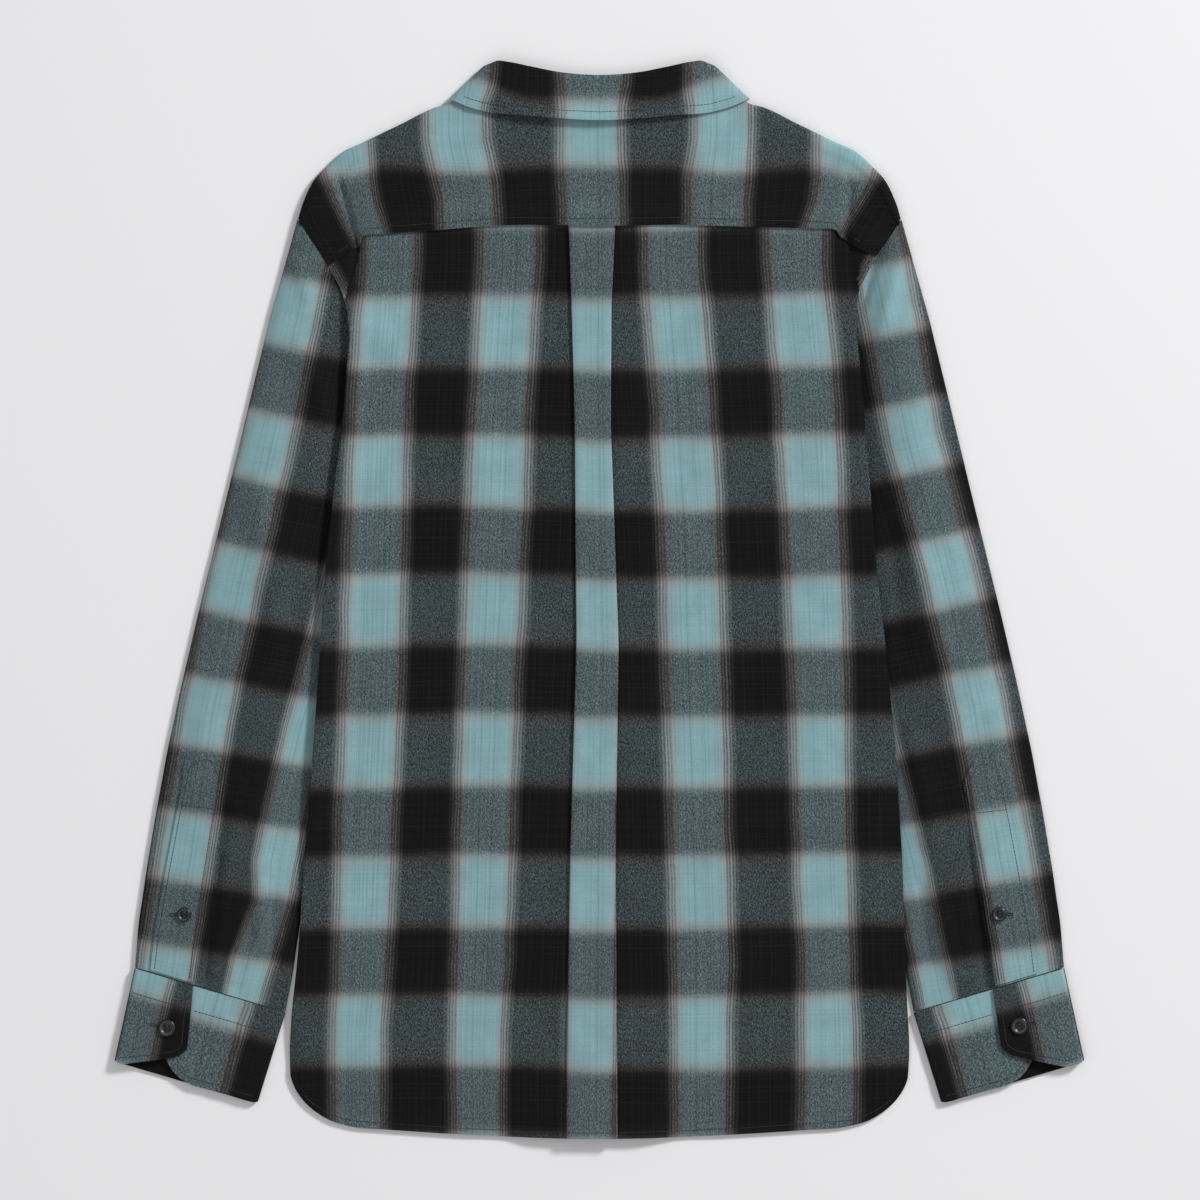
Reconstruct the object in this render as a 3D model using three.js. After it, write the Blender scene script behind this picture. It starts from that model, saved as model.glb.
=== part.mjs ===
import * as THREE from "three";

// Flannel shirt laid flat, face down with its back up. Millimetres.
// +X to the right seen from above, +Y towards the collar, +Z up, z = 0 is the surface it lies on.

// Driving dimensions
const CLOTH = 1.0; // brushed flannel, with its nap
const GAP = 0.3; // between pieces at a seam
const SEAM_GAP = 0.8; // between edges that meet in plan
const LAYER = CLOTH + GAP;
const COLLAR_CLOTH = 1.8; // two layers and interlining
const CUFF_CLOTH = 2.0;
const BUTTON_THICK = 2.2;
const FRONT_LAP = 16; // each front past the centre line
const STAND_HEIGHT = 30;
const YOKE_LAP = 8; // back panel running up under the yoke
const BODY_LOFT = 4.7; // underside of the back above the surface
const ROLL = 7; // width over which the back rolls down to the side seam
const SLEEVE_FLAT = 2.6; // a sleeve pressed flat under the body
const HEM_DROP = -412.7; // lowest point of the tail
const HEM_LIFT = 1.3; // underside of the back at its hem
const TAIL = { flat: 181.7, sag: 8.4, cornerFrom: 185, cornerWidth: 52.3, cornerRise: 42 };

// Ramps where a layer climbs over the one below it, as distances from that layer's edge
const LAP_RAMP = { from: 9, to: 26 }; // past the edge of the front lap
const SLEEVE_RAMP = { from: -32, to: -9 }; // before the sleeve's inner fold
const POINT_RAMP = { from: -36, to: -7 }; // before the collar point's edge
const POINT_SLANT = 0.602; // of the collar point's outer edge, across for each step up

// Half width of the body at each height
const BODY_EDGE = [
  { y: -364, left: 236.6, right: 236.2 },
  { y: -345, left: 237.3, right: 237.5 },
  { y: -322, left: 236.0, right: 236.0 },
  { y: -268, left: 230.4, right: 233.7 },
  { y: -198, left: 225.7, right: 231.6 },
  { y: -116, left: 219.0, right: 226.6 },
  { y: -31, left: 213.2, right: 218.4 },
  { y: 24, left: 209.5, right: 211.8 },
  { y: 76, left: 203.9, right: 207.9 },
  { y: 153, left: 194.7, right: 201.5 },
  { y: 221, left: 190.5, right: 195.6 },
  { y: 284, left: 183.0, right: 189.0 },
];

// Armhole seam, from under the arm to the shoulder
const ARMHOLE = [
  { y: 194.8, x: 177.1 },
  { y: 221.5, x: 190.5 },
  { y: 256, x: 207.6 },
  { y: 272, x: 218.6 },
  { y: 291.2, x: 231.0 },
];

// Centre box pleat: its edges and how far the cloth is folded back under each of them
const PLEAT = [
  { y: -413, left: -25.4, right: 13.5, depth: 4 },
  { y: -198, left: -22.2, right: 12.0, depth: 5.5 },
  { y: -36, left: -17.4, right: 14.3, depth: 7.5 },
  { y: 138, left: -18.7, right: 8.2, depth: 10.5 },
  { y: 230, left: -21.3, right: 9.0, depth: 13 },
  { y: 296, left: -23.7, right: 12.2, depth: 14 },
];

// Lower edge of the yoke, half of it
const YOKE_SEAM = [
  { x: 0, y: 285.7 },
  { x: 60, y: 286.9 },
  { x: 90, y: 285.6 },
  { x: 127, y: 282.4 },
  { x: 166, y: 279.7 },
  { x: 184, y: 271.6 },
  { x: 207.5, y: 256 },
];

// Shoulder line from the armhole to the neck, with where each point meets the yoke's two seams
const SHOULDER = [
  { x: 230.6, y: 291.8, backX: 207.1, frontX: 215.2, frontY: 268, radius: 2.9, axis: 3.4 },
  { x: 226.8, y: 304.2, backX: 199, frontX: 211, frontY: 284, radius: 2.9, axis: 3.4 },
  { x: 217.6, y: 322.5, backX: 190, frontX: 202, frontY: 300.5, radius: 2.9, axis: 3.4 },
  { x: 199.3, y: 340.9, backX: 178, frontX: 187, frontY: 315, radius: 2.9, axis: 3.4 },
  { x: 180.9, y: 350.1, backX: 163, frontX: 168, frontY: 324.6, radius: 2.9, axis: 3.4 },
  { x: 152.6, y: 363.8, backX: 140, frontX: 140, frontY: 338.5, radius: 2.9, axis: 3.4 },
  { x: 123.5, y: 377.6, backX: 115, frontX: 112, frontY: 352.5, radius: 2.9, axis: 3.4 },
  { x: 114, y: 380, backX: 109, frontX: 100, frontY: 359.5, radius: 0.85, axis: 4.9 },
];

// Collar from the centre back round to one point: fold line, free edge and the turn at the side
const COLLAR = [
  { foldX: 0, foldY: 401.5, edgeX: 0, edgeY: 366.5, turn: 0, rise: 1.2 },
  { foldX: 28.7, foldY: 403.5, edgeX: 28.7, edgeY: 367.8, turn: 0, rise: 1.2 },
  { foldX: 53.2, foldY: 408.2, edgeX: 60.8, edgeY: 370.6, turn: 0, rise: 1 },
  { foldX: 70, foldY: 411.6, edgeX: 86, edgeY: 373, turn: 0, rise: 0.5 },
  { foldX: 78.4, foldY: 412.1, edgeX: 101.4, edgeY: 377.3, turn: 0, rise: 0.6 },
  { foldX: 86.8, foldY: 409, edgeX: 114.4, edgeY: 382.7, turn: 90, rise: 0.3 },
  { foldX: 80.7, foldY: 407.4, edgeX: 105.2, edgeY: 377.6, turn: 180, rise: 0 },
  { foldX: 70, foldY: 389.8, edgeX: 94.5, edgeY: 351.6, turn: 180, rise: 0 },
  { foldX: 53.2, foldY: 366.9, edgeX: 82.2, edgeY: 317.2, turn: 180, rise: 0 },
  { foldX: 30.2, foldY: 340.1, edgeX: 64.6, edgeY: 286.6, turn: 180, rise: 0 },
  { foldX: 7.3, foldY: 314.8, edgeX: 39.4, edgeY: 258.2, turn: 180, rise: 0 },
];
const COLLAR_AXIS = 4.9; // height that the collar turns about at its sides
const COLLAR_TURN = 4.0; // radius of that turn
const COLLAR_LIP = COLLAR_CLOTH + 2 * GAP; // leaf to stand

// Sleeve sections: outer fold, inner fold, fold height and how far the top swells
const SLEEVE = [
  { outX: 231.0, outY: 291.2, inX: 177.1, inY: 194.8, fold: 6.5, swell: 0 },
  { outX: 236.4, outY: 272.0, inX: 171.7, inY: 172.6, fold: 6, swell: 1.5 },
  { outX: 243.7, outY: 246.0, inX: 170.2, inY: 150.4, fold: 5.5, swell: 3.5 },
  { outX: 252.1, outY: 216.2, inX: 171.7, inY: 125.9, fold: 5, swell: 5 },
  { outX: 262.4, outY: 174.1, inX: 175.6, inY: 91.5, fold: 4.6, swell: 5.6 },
  { outX: 284.6, outY: 82.3, inX: 187.0, inY: 13.5, fold: 4.4, swell: 5.6 },
  { outX: 308.7, outY: -16.4, inX: 200.8, inY: -73.0, fold: 4.4, swell: 5.2 },
  { outX: 320.2, outY: -66.1, inX: 208.5, inY: -118.9, fold: 4.4, swell: 5 },
  { outX: 330.9, outY: -115.8, inX: 215.3, inY: -164.8, fold: 4.4, swell: 4.6 },
  { outX: 340.0, outY: -165.5, inX: 223.0, inY: -210.7, fold: 4.4, swell: 4.2 },
  { outX: 346.9, outY: -206.9, inX: 229.5, inY: -248.9, fold: 4.4, swell: 3.6 },
  { outX: 353.0, outY: -248.9, inX: 235.2, inY: -287.2, fold: 4.4, swell: 2.8 },
  { outX: 355.7, outY: -281.4, inX: 240.6, inY: -315.5, fold: 4.4, swell: 1.6 },
];

// Inner fold of the sleeve as a limit for the front, which climbs over it
const SLEEVE_INSIDE = [
  { y: -345, x: 262 },
  { y: -315.5, x: 240.6 },
  { y: -248.9, x: 229.5 },
  { y: -164.8, x: 215.3 },
  { y: -73, x: 200.8 },
  { y: 13.5, x: 187 },
  { y: 91.5, x: 175.6 },
  { y: 172.6, x: 171.7 },
  { y: 194.8, x: 177.1 },
  { y: 221, x: 190 },
  { y: 240, x: 208 },
  { y: 262, x: 244 },
  { y: 300, x: 290 },
];

// Small tools for numbers
const lerp = (a, b, t) => a + (b - a) * t;

const clamp01 = (t) => Math.min(1, Math.max(0, t));

function ease(value, from, to) {
  const t = clamp01((value - from) / (to - from));
  return t * t * (3 - 2 * t);
}

// Value of one column of a table at a place along it, straight between rows
function look(table, key, place, column) {
  const ordered = table[0][key] <= table[table.length - 1][key] ? table : [...table].reverse();
  if (place <= ordered[0][key]) return ordered[0][column];
  for (let i = 1; i < ordered.length; i += 1) {
    const low = ordered[i - 1];
    const high = ordered[i];
    if (place <= high[key]) {
      return lerp(low[column], high[column], (place - low[key]) / (high[key] - low[key]));
    }
  }
  return ordered[ordered.length - 1][column];
}

// Row of a table at a fractional index
function rowAt(table, index) {
  const low = Math.min(Math.floor(index), table.length - 2);
  const row = {};
  for (const key of Object.keys(table[low])) {
    row[key] = lerp(table[low][key], table[low + 1][key], index - low);
  }
  return row;
}

function normalOf(points, i, j, around) {
  const rows = points.length;
  const columns = points[0].length;
  const at = (r, c) => new THREE.Vector3(...points[r][c]);
  const before = around ? (j + columns - 1) % columns : Math.max(j - 1, 0);
  const after = around ? (j + 1) % columns : Math.min(j + 1, columns - 1);
  const across = at(i, after).sub(at(i, before));
  const along = at(Math.min(i + 1, rows - 1), j).sub(at(Math.max(i - 1, 0), j));
  return across.cross(along).normalize();
}

// Closed wall round a sheet of middle points, rows by columns. A tube closes on itself.
function wall(points, thickness, around = false) {
  const rows = points.length;
  const columns = points[0].length;
  const positions = [];
  for (const side of [0.5, -0.5]) {
    for (let i = 0; i < rows; i += 1) {
      for (let j = 0; j < columns; j += 1) {
        const offset = normalOf(points, i, j, around).multiplyScalar(side * thickness);
        positions.push(...new THREE.Vector3(...points[i][j]).add(offset).toArray());
      }
    }
  }
  const id = (face, i, j) => face * rows * columns + i * columns + (j % columns);
  const index = [];
  const quad = (a, b, c, d) => index.push(a, b, c, a, c, d);
  const spans = around ? columns : columns - 1;
  for (let i = 0; i < rows - 1; i += 1) {
    for (let j = 0; j < spans; j += 1) {
      quad(id(0, i, j), id(0, i, j + 1), id(0, i + 1, j + 1), id(0, i + 1, j));
      quad(id(1, i, j), id(1, i + 1, j), id(1, i + 1, j + 1), id(1, i, j + 1));
    }
  }
  for (let j = 0; j < spans; j += 1) {
    quad(id(0, 0, j), id(1, 0, j), id(1, 0, j + 1), id(0, 0, j + 1));
    quad(id(0, rows - 1, j), id(0, rows - 1, j + 1), id(1, rows - 1, j + 1), id(1, rows - 1, j));
  }
  if (!around) {
    for (let i = 0; i < rows - 1; i += 1) {
      quad(id(0, i, 0), id(0, i + 1, 0), id(1, i + 1, 0), id(1, i, 0));
      const end = columns - 1;
      quad(id(0, i, end), id(1, i, end), id(1, i + 1, end), id(0, i + 1, end));
    }
  }
  return outward(positions, index);
}

// Geometry whose faces point out, whichever way its rows ran
function outward(positions, index) {
  let volume = 0;
  const at = (n) => new THREE.Vector3(positions[3 * n], positions[3 * n + 1], positions[3 * n + 2]);
  for (let t = 0; t < index.length; t += 3) {
    volume += at(index[t]).dot(at(index[t + 1]).cross(at(index[t + 2])));
  }
  if (volume < 0) {
    for (let t = 0; t < index.length; t += 3) {
      [index[t + 1], index[t + 2]] = [index[t + 2], index[t + 1]];
    }
  }
  const geometry = new THREE.BufferGeometry();
  geometry.setAttribute("position", new THREE.Float32BufferAttribute(positions, 3));
  geometry.setIndex(index);
  return geometry;
}

const shirt = new THREE.Group();
shirt.name = "flannel_shirt";

function add(name, geometry, finish) {
  const mesh = new THREE.Mesh(geometry, new THREE.MeshStandardMaterial(finish));
  mesh.name = name;
  shirt.add(mesh);
}

const CHECK_CLOTH = { color: 0x4e5c5f, roughness: 0.95, metalness: 0 };
const BUTTON_RESIN = { color: 0x2a2b2d, roughness: 0.35, metalness: 0 };

const SIDES = [
  { name: "left", sign: -1 },
  { name: "right", sign: 1 },
];

// Outline of the body: side fold below the arm, armhole seam above it
function bodyEdge(y, side) {
  return look(BODY_EDGE, "y", y, side);
}

function panelEdge(y, side) {
  const armhole = y > ARMHOLE[0].y ? look(ARMHOLE, "y", y, "x") - SEAM_GAP / 2 : 0;
  return Math.max(bodyEdge(y, side), armhole);
}

// Shirt-tail hem: nearly flat in the middle, a quarter ellipse up to each side
function hemHeight(x) {
  const reach = Math.abs(x);
  const sag = TAIL.sag * (reach / TAIL.flat) ** 1.75;
  const corner = clamp01((reach - TAIL.cornerFrom) / TAIL.cornerWidth);
  return HEM_DROP + sag + TAIL.cornerRise * (1 - Math.sqrt(1 - corner * corner));
}

// Height of the front panels' lower face. They rise over the lapped edges and their buttons, over
// the sleeves tucked under the body and over the collar points.
function frontLower(x, y, sign) {
  const reach = Math.abs(x);
  const stack = sign < 0 ? BUTTON_THICK + GAP : BUTTON_THICK + GAP + LAYER;
  const centre = stack * (1 - ease(reach - FRONT_LAP, LAP_RAMP.from, LAP_RAMP.to));
  const pastFold = reach - look(SLEEVE_INSIDE, "y", y, "x");
  const tucked = y > 150 ? Math.min(pastFold, armholeDistance(reach, y)) : pastFold;
  const overSleeve = (SLEEVE_FLAT + GAP) * ease(tucked, SLEEVE_RAMP.from, SLEEVE_RAMP.to);
  const point = COLLAR[COLLAR.length - 1];
  const pointEdge = point.edgeX + Math.max(0, y - point.edgeY) * POINT_SLANT;
  const beside = ease(pointEdge - reach, POINT_RAMP.from, POINT_RAMP.to);
  const overPoint = COLLAR_LIP * ease(y, point.edgeY - 30, point.edgeY - 4) * beside;
  return Math.max(centre, overSleeve, overPoint);
}

// Distance from the armhole seam, positive on the sleeve's side
function armholeDistance(reach, y) {
  const foot = ARMHOLE[0];
  const top = ARMHOLE[ARMHOLE.length - 1];
  const length = Math.hypot(top.x - foot.x, top.y - foot.y);
  const normalX = (top.y - foot.y) / length;
  const normalY = -(top.x - foot.x) / length;
  return (reach - foot.x) * normalX + (y - foot.y) * normalY;
}

// Height of the back's lower face: laid over the fronts, a little higher over the collar's lapped ends
function backLower(x, y) {
  const reach = Math.abs(x);
  const neck = 1.7 * ease(y, 262, 300) * (1 - ease(reach, 95, 150));
  const lapped = 2.4 * ease(y, 236, 276) * (1 - ease(y, 322, 350)) * (1 - ease(reach, 24, 62));
  const centre = 1.0 * (1 - ease(reach, 20, 70));
  return BODY_LOFT + Math.max(neck, centre, lapped);
}

// Frames along the collar's fold line, with extra ones where it turns under at the sides
function collarFrames() {
  const frames = [];
  COLLAR.forEach((row, k) => {
    const last = COLLAR[k - 1];
    if (last && row.turn !== last.turn) {
      for (const step of [1 / 3, 2 / 3]) {
        const turn = lerp(last.turn, row.turn, step);
        const lean = Math.sin((turn * Math.PI) / 180);
        const swing = row.turn === 90 ? lean : 1 - lean;
        const mixed = {};
        for (const key of Object.keys(row)) mixed[key] = lerp(last[key], row[key], swing);
        frames.push({ ...mixed, turn });
      }
    }
    frames.push(row);
  });
  return frames.map((row) => {
    const width = Math.hypot(row.edgeX - row.foldX, row.edgeY - row.foldY);
    const dirX = (row.edgeX - row.foldX) / width;
    const dirY = (row.edgeY - row.foldY) / width;
    return { ...row, width, dirX, dirY, angle: (row.turn * Math.PI) / 180 };
  });
}

// Point of the collar, "across" from the fold line and "out" from the leaf's middle
function collarPoint(frame, across, out, sign) {
  const lift = Math.sin(frame.angle);
  const x = frame.foldX + across * frame.dirX - out * lift * frame.dirY;
  const y = frame.foldY + across * frame.dirY + out * lift * frame.dirX;
  const z = COLLAR_AXIS + (COLLAR_TURN + out) * Math.cos(frame.angle) + frame.rise * (across / frame.width);
  return [sign * x, y, z];
}

const FRAMES = collarFrames();
const FIRST_UNDER = FRAMES.findIndex((frame) => frame.turn === 180);
const NECK_CORNER = FIRST_UNDER + 1; // frame where the neckline meets the front shoulder seam

const neckPoint = (frame) => collarPoint(frame, STAND_HEIGHT + 1.5 * SEAM_GAP, -COLLAR_LIP, 1);

const STAND_FOOT = 284.5; // lower edge of the stand at the centre front

// Fronts: grids from the lapped centre edge to the side, hem to neckline and shoulder seam
const FRONT_STEP = 17; // widest column
const FRONT_ROWS = [0, 0.04, 0.14, 0.3, 0.5, 0.66, 0.74, 0.8, 0.85, 0.9, 0.93, 0.96, 1];

function frontTopLine() {
  const line = [
    [-FRONT_LAP, STAND_FOOT - SEAM_GAP],
    [FRONT_LAP, STAND_FOOT - SEAM_GAP],
  ];
  for (let k = FRAMES.length - 1; k >= NECK_CORNER; k -= 1) {
    const [x, y] = neckPoint(FRAMES[k]);
    line.push([x, y]);
  }
  for (let k = SHOULDER.length - 1; k >= 0; k -= 1) {
    line.push([SHOULDER[k].frontX, SHOULDER[k].frontY - SEAM_GAP]);
  }
  return line;
}

// Line with each span cut into steps no wider than the given one
function refine(line, widest) {
  const fine = [line[0]];
  for (let k = 1; k < line.length; k += 1) {
    const count = Math.ceil((line[k][0] - line[k - 1][0]) / widest);
    for (let n = 1; n <= count; n += 1) {
      fine.push([lerp(line[k - 1][0], line[k][0], n / count), lerp(line[k - 1][1], line[k][1], n / count)]);
    }
  }
  return fine;
}

const FRONT_TOP = refine(frontTopLine(), FRONT_STEP);

function frontPanel(side) {
  const columns = FRONT_TOP.map(([x]) => x);
  const span = columns[columns.length - 1] - columns[0];
  const points = FRONT_ROWS.map((share) =>
    FRONT_TOP.map(([topX, topY], j) => {
      const t = (columns[j] - columns[0]) / span;
      const hemX = lerp(-FRONT_LAP, bodyEdge(-364, side.name) - 1, t);
      const y = lerp(hemHeight(hemX) + 2, topY, share);
      const straight = (height) => lerp(-FRONT_LAP, panelEdge(height, side.name) - 1, t);
      const shift = (topX - straight(topY)) * ease(share, 0.3, 1);
      const x = side.sign * Math.min(straight(y) + shift, panelEdge(y, side.name) - SEAM_GAP);
      return [x, y, frontLower(x, y, side.sign) + CLOTH / 2];
    }),
  );
  return wall(points, CLOTH);
}

for (const side of SIDES) {
  add(`front_${side.name}`, frontPanel(side), CHECK_CLOTH);
}

// Back: one cloth across the body, folded under both edges of the centre pleat
const TURN = LAYER / 2;
const TURN_STEPS = [45, 90, 135];

// Half of the back's section: under one edge of the pleat, round its two turns and up to the middle.
// "way" is the side that the fold under this edge runs to.
function pleatHalf(edge, depth, middle, way) {
  const half = [];
  const turnRound = (centre, outward, from) => {
    for (const step of TURN_STEPS) {
      const angle = (step * Math.PI) / 180;
      half.push([centre + outward * TURN * Math.sin(angle), from + TURN * (1 - Math.cos(angle))]);
    }
  };
  half.push([edge - 4 * way, 0]);
  half.push([edge + depth * way, 0]);
  turnRound(edge + depth * way, way, 0);
  half.push([edge + depth * way, LAYER]);
  half.push([edge + TURN * way, LAYER]);
  turnRound(edge + TURN * way, -way, LAYER);
  half.push([edge + TURN * way, 2 * LAYER]);
  half.push([middle, 2 * LAYER]);
  return half;
}

// Section of the back at one height: distance across, height above its lowest layer
function backSection(y) {
  const left = look(PLEAT, "y", y, "left");
  const right = look(PLEAT, "y", y, "right");
  const depth = look(PLEAT, "y", y, "depth");
  const middle = (left + right) / 2;
  return [...pleatHalf(left, depth, middle, 1), ...pleatHalf(right, depth, middle, -1).reverse().slice(1)];
}

const PANEL_SHARES = [0, 0.006, 0.03, 0.12, 0.32, 0.56, 0.78, 0.92];
const BACK_ROWS = [0, 0.02, 0.08, 0.18, 0.32, 0.46, 0.6, 0.72, 0.8, 0.86, 0.91, 0.94, 0.97, 1];

// Height of the back at its rolled side: on the front's edge, or level with the sleeve at the armhole
function backEdgeLower(y, side, sign) {
  const x = sign * (panelEdge(y, side) - 1);
  const onFront = frontLower(x, y, sign) + LAYER;
  const atSleeve = SLEEVE_FLAT + GAP + LAYER;
  return lerp(onFront, Math.max(onFront, atSleeve), ease(y, 205, 235));
}

function backHeight(x, y) {
  const side = x < 0 ? "left" : "right";
  const sign = x < 0 ? -1 : 1;
  const inside = panelEdge(y, side) - Math.abs(x);
  const roll = clamp01(inside / ROLL);
  const rise = Math.sqrt(1 - (1 - roll) ** 2);
  const tail = hemHeight(x);
  const settle = ease(y, tail, tail + 60);
  const strip = (BUTTON_THICK + 3 * LAYER) * (1 - ease(Math.abs(x), 40, 70));
  const flat = lerp(Math.max(HEM_LIFT + GAP, strip), backLower(x, y), settle);
  return lerp(Math.min(flat, backEdgeLower(y, side, sign)), flat, rise);
}

function yokeSeamHeight(x) {
  return look(YOKE_SEAM, "x", Math.abs(x), "y");
}

function backPanel() {
  const sectionCount = backSection(0).length;
  const total = PANEL_SHARES.length * 2 + sectionCount;
  const points = BACK_ROWS.map((share) => {
    const row = [];
    for (let j = 0; j < total; j += 1) {
      const locate = (y) => {
        const section = backSection(y);
        if (j < PANEL_SHARES.length) {
          return [lerp(-panelEdge(y, "left"), section[0][0], PANEL_SHARES[j]), 0];
        }
        if (j < PANEL_SHARES.length + sectionCount) {
          return section[j - PANEL_SHARES.length];
        }
        const last = section[sectionCount - 1][0];
        return [lerp(panelEdge(y, "right"), last, PANEL_SHARES[total - 1 - j]), 0];
      };
      const hemX = locate(-380)[0];
      const hem = hemHeight(hemX);
      let top = yokeSeamHeight(locate(286)[0]) + YOKE_LAP;
      top = yokeSeamHeight(locate(top)[0]) + YOKE_LAP;
      const y = lerp(hem, top, share);
      const [x, layer] = locate(y);
      row.push([x, y, backHeight(x, y) + layer + CLOTH / 2]);
    }
    return row;
  });
  return wall(points, CLOTH);
}

add("back_panel", backPanel(), CHECK_CLOTH);

// Yoke: over the back panel's top edge, up to the neckline, round each shoulder to its front seam
function pleatRise(x, y) {
  const left = look(PLEAT, "y", y, "left");
  const right = look(PLEAT, "y", y, "right");
  const inside = Math.min(x - (left - 14), right + 14 - x);
  return 2 * LAYER * ease(inside, 0, 12);
}

function yokeMiddle(x, y) {
  const above = y - yokeSeamHeight(x);
  const overBack = (LAYER + 2 * GAP + pleatRise(x, y)) * (1 - ease(above, YOKE_LAP + 1, YOKE_LAP + 12));
  return backHeight(x, y) + overBack + CLOTH / 2;
}

const NECK_TURN = COLLAR_TURN - COLLAR_LIP - 1.5 * GAP; // fold where the stand turns over it
const CREASE = FRAMES.find((frame) => frame.turn === 90);
const CREASE_STEP = { x: 0.35, y: 0.05 }; // between the yoke's columns that turn over at the crease
const CENTRE_STRIP = [-45, -33, -24, -6, 12, 22, 33, 45]; // columns over the pleat
const NO_TURN = 0.01; // radius of a column that ends at the neck without turning over
const SHORTEST_STEP = 0.7; // between points drawn back to a cut edge

// Where each collar frame's column starts on the yoke's back seam
const NECK_SEAM = [
  { index: 0, x: 0 },
  { index: 1, x: 26 },
  { index: 2, x: 50 },
  { index: 3, x: 67 },
  { index: 4, x: 76 },
  { index: NECK_CORNER, x: 103 },
];

const YOKE_RUN = [0, YOKE_LAP + 1, YOKE_LAP + 8];
const YOKE_SHARES = [0.4, 0.75, 1];
const FOLD_STEPS = [45, 90, 135, 180];

// One column of the yoke from its back seam, as middle points
function yokeColumn(column, sign) {
  const { seamX, axisX, axisY, outX, outY, radius, centre, endAngle, endX, endY } = column;
  const seamY = yokeSeamHeight(seamX);
  const run = Math.hypot(axisX - seamX, axisY - seamY);
  const steps = [...YOKE_RUN, ...YOKE_SHARES.map((share) => lerp(YOKE_RUN[2], run, share))];
  const path = steps.map((distance) => {
    const x = lerp(seamX, axisX, distance / run);
    const y = lerp(seamY, axisY, distance / run);
    const near = ease(distance / run, 0.55, 1);
    return [sign * x, y, lerp(yokeMiddle(sign * x, y), centre + radius, near)];
  });
  for (const step of FOLD_STEPS) {
    const angle = (step * Math.PI) / 180;
    const swing = radius * Math.sin(angle);
    path.push([sign * (axisX + outX * swing), axisY + outY * swing, centre + radius * Math.cos(angle)]);
  }
  const under = [0.35, 1].map((share) => {
    const x = lerp(axisX, endX, share);
    const y = lerp(axisY, endY, share);
    const flat = frontLower(sign * x, y, sign) + CLOTH / 2;
    return [sign * x, y, lerp(centre - radius, flat, ease(share, 0, 1))];
  });
  path.push(...under);
  return shorten(path, endAngle === undefined ? Infinity : run + (radius * endAngle * Math.PI) / 180);
}

// Same number of points, with those past the given length drawn back before the cut edge
function shorten(path, length) {
  const lengths = [0];
  for (let k = 1; k < path.length; k += 1) {
    const step = new THREE.Vector3(...path[k]).distanceTo(new THREE.Vector3(...path[k - 1]));
    lengths.push(lengths[k - 1] + step);
  }
  const total = Math.min(length, lengths[lengths.length - 1]);
  return path.map((point, k) => {
    const wanted = Math.min(lengths[k], total - (path.length - 1 - k) * SHORTEST_STEP);
    let low = 0;
    while (low < path.length - 2 && lengths[low + 1] < wanted) low += 1;
    const t = (wanted - lengths[low]) / (lengths[low + 1] - lengths[low]);
    return point.map((value, axis) => lerp(path[low][axis], path[low + 1][axis], t));
  });
}

function yokeColumns() {
  const columns = SHOULDER.map((row) => {
    const seamY = yokeSeamHeight(row.backX);
    const length = Math.hypot(row.x - row.backX, row.y - seamY);
    const outX = (row.x - row.backX) / length;
    const outY = (row.y - seamY) / length;
    return {
      seamX: row.backX,
      axisX: row.x - outX * (row.radius + CLOTH / 2),
      axisY: row.y - outY * (row.radius + CLOTH / 2),
      outX,
      outY,
      radius: row.radius,
      centre: row.axis,
      endX: row.frontX,
      endY: row.frontY,
    };
  });
  const [axisX, axisY] = neckAxis();
  for (let k = NECK_CORNER; k >= 0; k -= 1) {
    const frame = FRAMES[k];
    const [x, y, z] = neckPoint(frame);
    const seamX = look(NECK_SEAM, "index", k, "x");
    const turned = frame.turn > 0 || k > 4;
    columns.push({
      seamX,
      axisX: turned ? axisX - (NECK_CORNER - k) * CREASE_STEP.x : x,
      axisY: turned ? axisY - (NECK_CORNER - k) * CREASE_STEP.y : y,
      outX: turned ? -CREASE.dirY : 0,
      outY: turned ? CREASE.dirX : 0,
      radius: turned ? NECK_TURN : NO_TURN,
      centre: turned ? COLLAR_AXIS : z,
      endAngle: k < FIRST_UNDER ? frame.turn : undefined,
      endX: x,
      endY: y,
    });
  }
  return columns;
}

// Axis that the neck edge turns about, in plan
function neckAxis() {
  const [x, y] = neckPoint(CREASE);
  return [x + NECK_TURN * CREASE.dirY, y - NECK_TURN * CREASE.dirX];
}

function yokePiece() {
  const outer = yokeColumns().filter((column) => column.seamX > CENTRE_STRIP[CENTRE_STRIP.length - 1] + 2);
  const paths = outer.map((column) => yokeColumn(column, -1));
  paths.push(...CENTRE_STRIP.map(centreColumn));
  paths.push(...outer.map((column) => yokeColumn(column, 1)).reverse());
  return wall(paths, CLOTH);
}

// Columns over the centre pleat, between the collar frames
function centreColumn(x) {
  const reach = Math.abs(x);
  const index = look(NECK_SEAM.map((row) => ({ at: row.x, index: row.index })), "at", reach, "index");
  const frame = rowAt(FRAMES, index);
  const [neckX, neckY, neckZ] = neckPoint(frame);
  const column = {
    seamX: reach,
    axisX: neckX,
    axisY: neckY,
    outX: 0,
    outY: 0,
    radius: NO_TURN,
    centre: neckZ,
    endAngle: 0,
    endX: neckX,
    endY: neckY,
  };
  return yokeColumn(column, x < 0 ? -1 : 1);
}

add("yoke", yokePiece(), CHECK_CLOTH);

// Collar leaf: one ribbon from point to point, folded over its top edge all the way
const LIP_REACH = 5.5; // of the leaf's inner edge, down from the fold line
const LEAF_FOLD = (COLLAR_CLOTH + COLLAR_LIP) / 2;

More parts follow.
